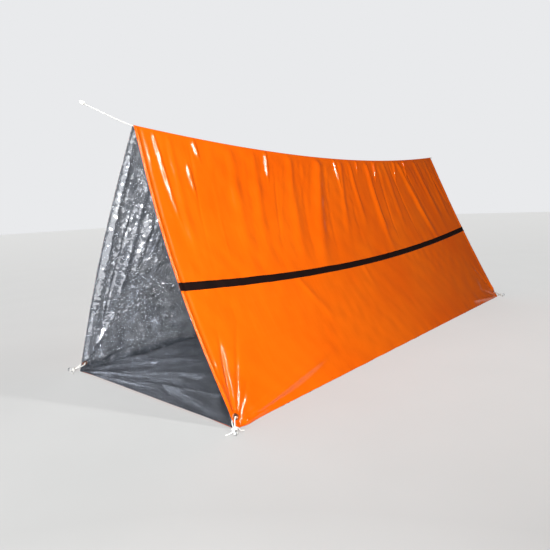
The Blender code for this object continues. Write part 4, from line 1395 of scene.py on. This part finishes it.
class CornerTie:
    """The middle line of a tie's loop, from its eyelet's centre to the far side of its peg."""

    def __init__(self, side, end, centre, normal):
        outward = outward_direction(side, end)
        edge = wall_edge(side, end)
        down = -(edge - normal * edge.dot(normal)).normalized()
        forward = Vector((0, end, 0))
        peg_axis = Vector((0, 0, 1)) + outward * math.tan(PEG_LEAN)
        peg = peg_place(side, end) + peg_axis * TIE_HEIGHT_AT_PEG
        self.normal = normal
        self.eyelet = centre
        self.first_pull = centre + forward * TIE_FORWARD_PULL + down * TIE_DOWNWARD_PULL
        self.last_pull = peg - outward * TIE_PEG_PULL + Vector((0, 0, TIE_PEG_DROP))
        self.far = peg + outward * PEG_TURN
        marks = [self.spot(step / TIE_LENGTH_STEPS) for step in range(TIE_LENGTH_STEPS + 1)]
        self.travelled = [0]
        for before, after in zip(marks, marks[1:]):
            self.travelled.append(self.travelled[-1] + (after - before).length)
        self.length = self.travelled[-1]

    def spot(self, share):
        """A point of the curve at its own share."""
        rest = 1 - share
        near = self.eyelet * rest**3 + self.first_pull * 3 * rest**2 * share
        return near + self.last_pull * 3 * rest * share**2 + self.far * share**3

    def frame_at(self, distance):
        """Place, heading and the direction in which the loop's two strands lie apart."""
        share = float(np.interp(distance, self.travelled, np.linspace(0, 1, TIE_LENGTH_STEPS + 1)))
        rest = 1 - share
        heading = (self.first_pull - self.eyelet) * rest**2
        heading += (self.last_pull - self.first_pull) * 2 * rest * share
        heading += (self.far - self.last_pull) * share**2
        heading.normalize()
        level = heading.cross(Vector((0, 0, 1))).normalized()
        if level.dot(self.normal) < 0:
            level = -level
        spread = self.normal.lerp(level, float(ease(share)))
        spread = (spread - heading * spread.dot(heading)).normalized()
        return self.spot(share), heading, spread


def wall_edge(side, end):
    """Direction up the cut edge of a wall at its foot."""
    along = np.array([0.0 if end == FRONT else 1.0])
    low, high = (wall_middle(side, along, up) for up in (0.0, CUT_EDGE_REACH))
    return (high - low).normalized()


def wall_middle(side, along, up):
    """A point of the wall's bow without its folds."""
    ridge_y, ridge_z = ridge_place(along[0])
    slope = Vector((ridge_z - FOOT_Z, 0, FOOT_X)).normalized()
    foot = Vector((FOOT_X, mix(FRONT_Y, REAR_Y, along[0]), FOOT_Z))
    top = Vector((0, ridge_y, ridge_z)) + slope * FOLD_RADIUS
    spot = foot.lerp(top, up) - slope * float(bow_at(side, along[0]) * math.sin(math.pi * up))
    return Vector((side * spot.x, spot.y, spot.z))


def loop_route(tie, wrap_start, wrap_end):
    """The closed loop: out along one strand, round the peg, and back along the other."""
    neck = mix(TIE_EYELET_TURN, TIE_WAIST, TIE_NECK_SHARE)
    outline = (
        (0, 0),
        (TIE_EYELET_TURN * (1 - DIAGONAL_SHARE), TIE_EYELET_TURN * DIAGONAL_SHARE),
        (TIE_EYELET_TURN, TIE_EYELET_TURN),
        (EYELET_EDGE_DISTANCE + CORD_DIAMETER, neck),
        (wrap_start, TIE_WAIST),
        (wrap_end, TIE_WAIST),
        (tie.length - PEG_TURN, PEG_TURN),
        (tie.length - PEG_TURN * (1 - DIAGONAL_SHARE), PEG_TURN * DIAGONAL_SHARE),
        (tie.length, 0),
    )
    there, back = [], []
    for distance, half_spread in outline:
        spot, _, spread = tie.frame_at(distance)
        there.append(spot + spread * half_spread)
        back.append(spot - spread * half_spread)
    return smooth_route(there + back[-2:0:-1], LOOP_STEPS, closed=True)


def tail_route(start, spread, droop):
    """A short free end: down from the binding, then out along the ground."""
    ground = CORD_RADIUS + GAP
    bend = start + spread * (TIE_TAIL_LENGTH * TAIL_BEND_SHARE) - droop * CORD_RADIUS
    touch = start + spread * (TIE_TAIL_LENGTH * TAIL_TOUCH_SHARE)
    tip = start + spread * TIE_TAIL_LENGTH + droop.cross(spread) * CORD_RADIUS
    touch.z = mix(ground, start.z, TAIL_HEIGHT_SHARE)
    tip.z = ground
    return [start, bend, touch, tip]


def binding_route(tie, wrap_start, wrap_end):
    """Turns of cord round both strands, with a free end on each side."""
    spot, heading, spread = tie.frame_at((wrap_start + wrap_end) / 2)
    if heading.cross(spread).z < 0:
        spread = -spread
    half_height = CORD_DIAMETER + TIE_BINDING_GAP
    turns = wrap_route(spot, heading, TIE_WAIST + half_height, half_height, WRAP_TURNS, spread)
    rise = heading.cross(spread).normalized()
    first_tail = smooth_route(tail_route(turns[0], spread, rise), TAIL_STEPS)
    last_tail = smooth_route(tail_route(turns[-1], -spread, rise), TAIL_STEPS)
    return first_tail[:0:-1] + turns + last_tail[1:]


for corner, (side, end) in CORNERS.items():
    tie = CornerTie(side, end, *SEATS[corner])
    wrap_end = tie.length - 2 * PEG_TURN
    wrap_start = wrap_end - WRAP_PITCH * (WRAP_TURNS + 1)
    loop = loop_route(tie, wrap_start, wrap_end)
    binding = binding_route(tie, wrap_start, wrap_end)
    make_cord(f"tie_loop_{corner}", f"corner_tie_{corner}", loop, closed=True)
    make_cord(f"tie_binding_{corner}", f"tie_knot_{corner}", binding)


# Ground, light and camera
# A plain pale floor of painted board with soft studio light. The camera stands where the
# photograph was taken from, as fitted to the five corners of the tent in it.

GROUND_Z = -0.0004
GROUND_SIZE = 40
BOARD_PATCH = 0.5

# The floor's glow makes up for the key light's fall-off: far away, near the light, and where the
# lamps don't shine because they face the other way
GROUND_GLOW = (0.72, 0.14)
UNDER_KEY = (2.0, -3.0, 0)
BESIDE_LAMPS = (1.5, 2.6)
BEHIND_LAMPS = (-3.0, -2.1)
UNLIT_GLOW = 0.60
NEAR_KEY = 1.95
GLOW_POWER = -1.5
SKY_STRENGTH = 0.28
FILL_STRENGTH = 1.15
FILL_SIDE = (-0.55, -0.15)
CEILING_START = (0.02, 0.16)
CEILING_COLOUR = "#3E4043"
WALL_SLOPE = (-0.442, 0, 0.897)
CAMERA_PLACE = Vector((1.49426, -2.18099, 0.65464))
CAMERA_YAW = 0.72069
CAMERA_PITCH = -0.13709
CAMERA_ROLL = -0.04244
FOCAL_PIXELS = 493.31
PHOTO_PIXELS = 550
SENSOR_WIDTH = 36


def seen_share(holder):
    """1 for camera, mirror and see-through rays, 0 for the rays that carry light."""
    path = add_node(holder, "ShaderNodeLightPath")
    share = path.outputs["Is Camera Ray"]
    for ray in ("Is Glossy Ray", "Is Transmission Ray"):
        rays = (share, path.outputs[ray])
        share = add_node(holder, "ShaderNodeMath", rays, operation="MAXIMUM").outputs[0]
    return share


def make_ground():
    """A wide pale floor, matte like painted board, that glows a little for the eye alone."""
    builder = bmesh.new()
    bmesh.ops.create_grid(builder, x_segments=1, y_segments=1, size=GROUND_SIZE / 2)
    bmesh.ops.translate(builder, verts=builder.verts[:], vec=(0, 0, GROUND_Z))
    mesh = bpy.data.meshes.new("studio_floor")
    builder.to_mesh(mesh)
    builder.free()
    material, shader, place = new_material("painted_board", "#A9A9A8", 0.85)
    shader.inputs["Specular IOR Level"].default_value = 0.1
    shader.inputs["Emission Color"].default_value = linear("#F2F2F1")
    at = {"Vector": place}
    grain = add_node(material, "ShaderNodeTexNoise", at, scale=1 / BOARD_PATCH, detail=3.0)
    vary_colour(material, shader, grain.outputs["Fac"], 0.3, 0.7, "#A7A7A6", "#ABABAA")
    off_key = add_node(material, "ShaderNodeVectorMath", (place, UNDER_KEY), operation="DISTANCE")
    distance = (off_key.outputs["Value"], GLOW_POWER)
    fall_off = add_node(material, "ShaderNodeMath", distance, operation="POWER").outputs[0]
    falls = (fall_off, 0, NEAR_KEY**GLOW_POWER, *GROUND_GLOW)
    glow = add_node(material, "ShaderNodeMapRange", falls).outputs["Result"]
    x, y, _ = add_node(material, "ShaderNodeSeparateXYZ", (place,)).outputs
    for unlit in ((x, *BESIDE_LAMPS, 0, UNLIT_GLOW), (y, *BEHIND_LAMPS, UNLIT_GLOW, 0)):
        glows = (glow, add_node(material, "ShaderNodeMapRange", unlit).outputs["Result"])
        glow = add_node(material, "ShaderNodeMath", glows, operation="MAXIMUM").outputs[0]
    glows = (glow, seen_share(material))
    glow = add_node(material, "ShaderNodeMath", glows, operation="MULTIPLY").outputs[0]
    material.node_tree.links.new(glow, shader.inputs["Emission Strength"])
    mesh.materials.append(material)
    ground = bpy.data.objects.new("studio_floor", mesh)
    bpy.context.scene.collection.objects.link(ground)


def make_softbox(name, place, target, width, height, power, spread=180, upright=(0, 0, 1)):
    """A rectangular area light that points at a target, with its height along a direction.

    A grid before it narrows its spread, which keeps it off the floor around the lamp.
    """
    light = bpy.data.lights.new(name, "AREA")
    light.shape = "RECTANGLE"
    light.spread = math.radians(spread)
    light.size = width
    light.size_y = height
    light.energy = power
    lamp = bpy.data.objects.new(name, light)
    bpy.context.scene.collection.objects.link(lamp)
    backward = (Vector(place) - Vector(target)).normalized()
    across = Vector(upright).cross(backward).normalized()
    turn = Matrix((across, backward.cross(across), backward)).transposed().to_4x4()
    lamp.matrix_world = Matrix.Translation(place) @ turn


def make_sky():
    """A pale surround, seen at full strength, that lights more softly.

    Its left half is the fill light, and the rest has a darker ceiling.
    """
    world = bpy.data.worlds.new("studio_surround")
    bpy.context.scene.world = world
    world.use_nodes = True
    background = world.node_tree.nodes["Background"]
    heading = add_node(world, "ShaderNodeTexCoord").outputs["Generated"]
    x, _, z = add_node(world, "ShaderNodeSeparateXYZ", (heading,)).outputs
    path = add_node(world, "ShaderNodeLightPath").outputs
    off_fill = add_node(world, "ShaderNodeMapRange", (x, *FILL_SIDE)).outputs["Result"]
    rays = (off_fill, path["Is Glossy Ray"])
    off_fill = add_node(world, "ShaderNodeMath", rays, operation="MAXIMUM").outputs[0]
    unseen = add_node(world, "ShaderNodeMapRange", (path["Is Camera Ray"], 0, 1, 1, 0))
    shade = add_node(world, "ShaderNodeMapRange", (z, *CEILING_START)).outputs["Result"]
    for share in (unseen.outputs["Result"], off_fill):
        shades = (shade, share)
        shade = add_node(world, "ShaderNodeMath", shades, operation="MULTIPLY").outputs[0]
    colours = {"Factor": shade, 6: linear("#E9EAEC"), 7: linear(CEILING_COLOUR)}
    colour = add_node(world, "ShaderNodeMix", colours, data_type="RGBA").outputs[2]
    world.node_tree.links.new(colour, background.inputs["Color"])
    light = add_node(world, "ShaderNodeMapRange", (x, *FILL_SIDE, FILL_STRENGTH, SKY_STRENGTH))
    lights = {0: seen_share(world), 2: light.outputs["Result"], 3: 1}
    strength = add_node(world, "ShaderNodeMix", lights).outputs[0]
    world.node_tree.links.new(strength, background.inputs["Strength"])


def make_camera():
    """The photograph's camera: place, direction, roll and field of view."""
    level = math.cos(CAMERA_PITCH)
    forward = Vector(
        (-math.sin(CAMERA_YAW) * level, math.cos(CAMERA_YAW) * level, math.sin(CAMERA_PITCH))
    )
    sideways = Vector((math.cos(CAMERA_YAW), math.sin(CAMERA_YAW), 0))
    above = sideways.cross(forward)
    right = sideways * math.cos(CAMERA_ROLL) + above * math.sin(CAMERA_ROLL)
    top = above * math.cos(CAMERA_ROLL) - sideways * math.sin(CAMERA_ROLL)
    lens = bpy.data.cameras.new("photo_camera")
    lens.sensor_width = SENSOR_WIDTH
    lens.lens = FOCAL_PIXELS / PHOTO_PIXELS * SENSOR_WIDTH
    camera = bpy.data.objects.new("photo_camera", lens)
    bpy.context.scene.collection.objects.link(camera)
    turn = Matrix((right, top, -forward)).transposed().to_4x4()
    camera.matrix_world = Matrix.Translation(CAMERA_PLACE) @ turn
    bpy.context.scene.camera = camera


make_ground()
make_sky()
make_softbox("key", (1.8, -2.7, 1.4), (0.1, -1.0, 0.5), 1.0, 0.9, 29, 120)
make_softbox("opening", (1.2, -3.7, 0.5), (-0.2, -0.8, 0.4), 0.9, 0.7, 34, 120)
make_softbox("strip", (2.2, 0.0, 2.6), (0.1, -1.3, 0.8), 0.14, 1.3, 36, upright=WALL_SLOPE)
make_camera()
bpy.context.scene.view_settings.view_transform = "Standard"
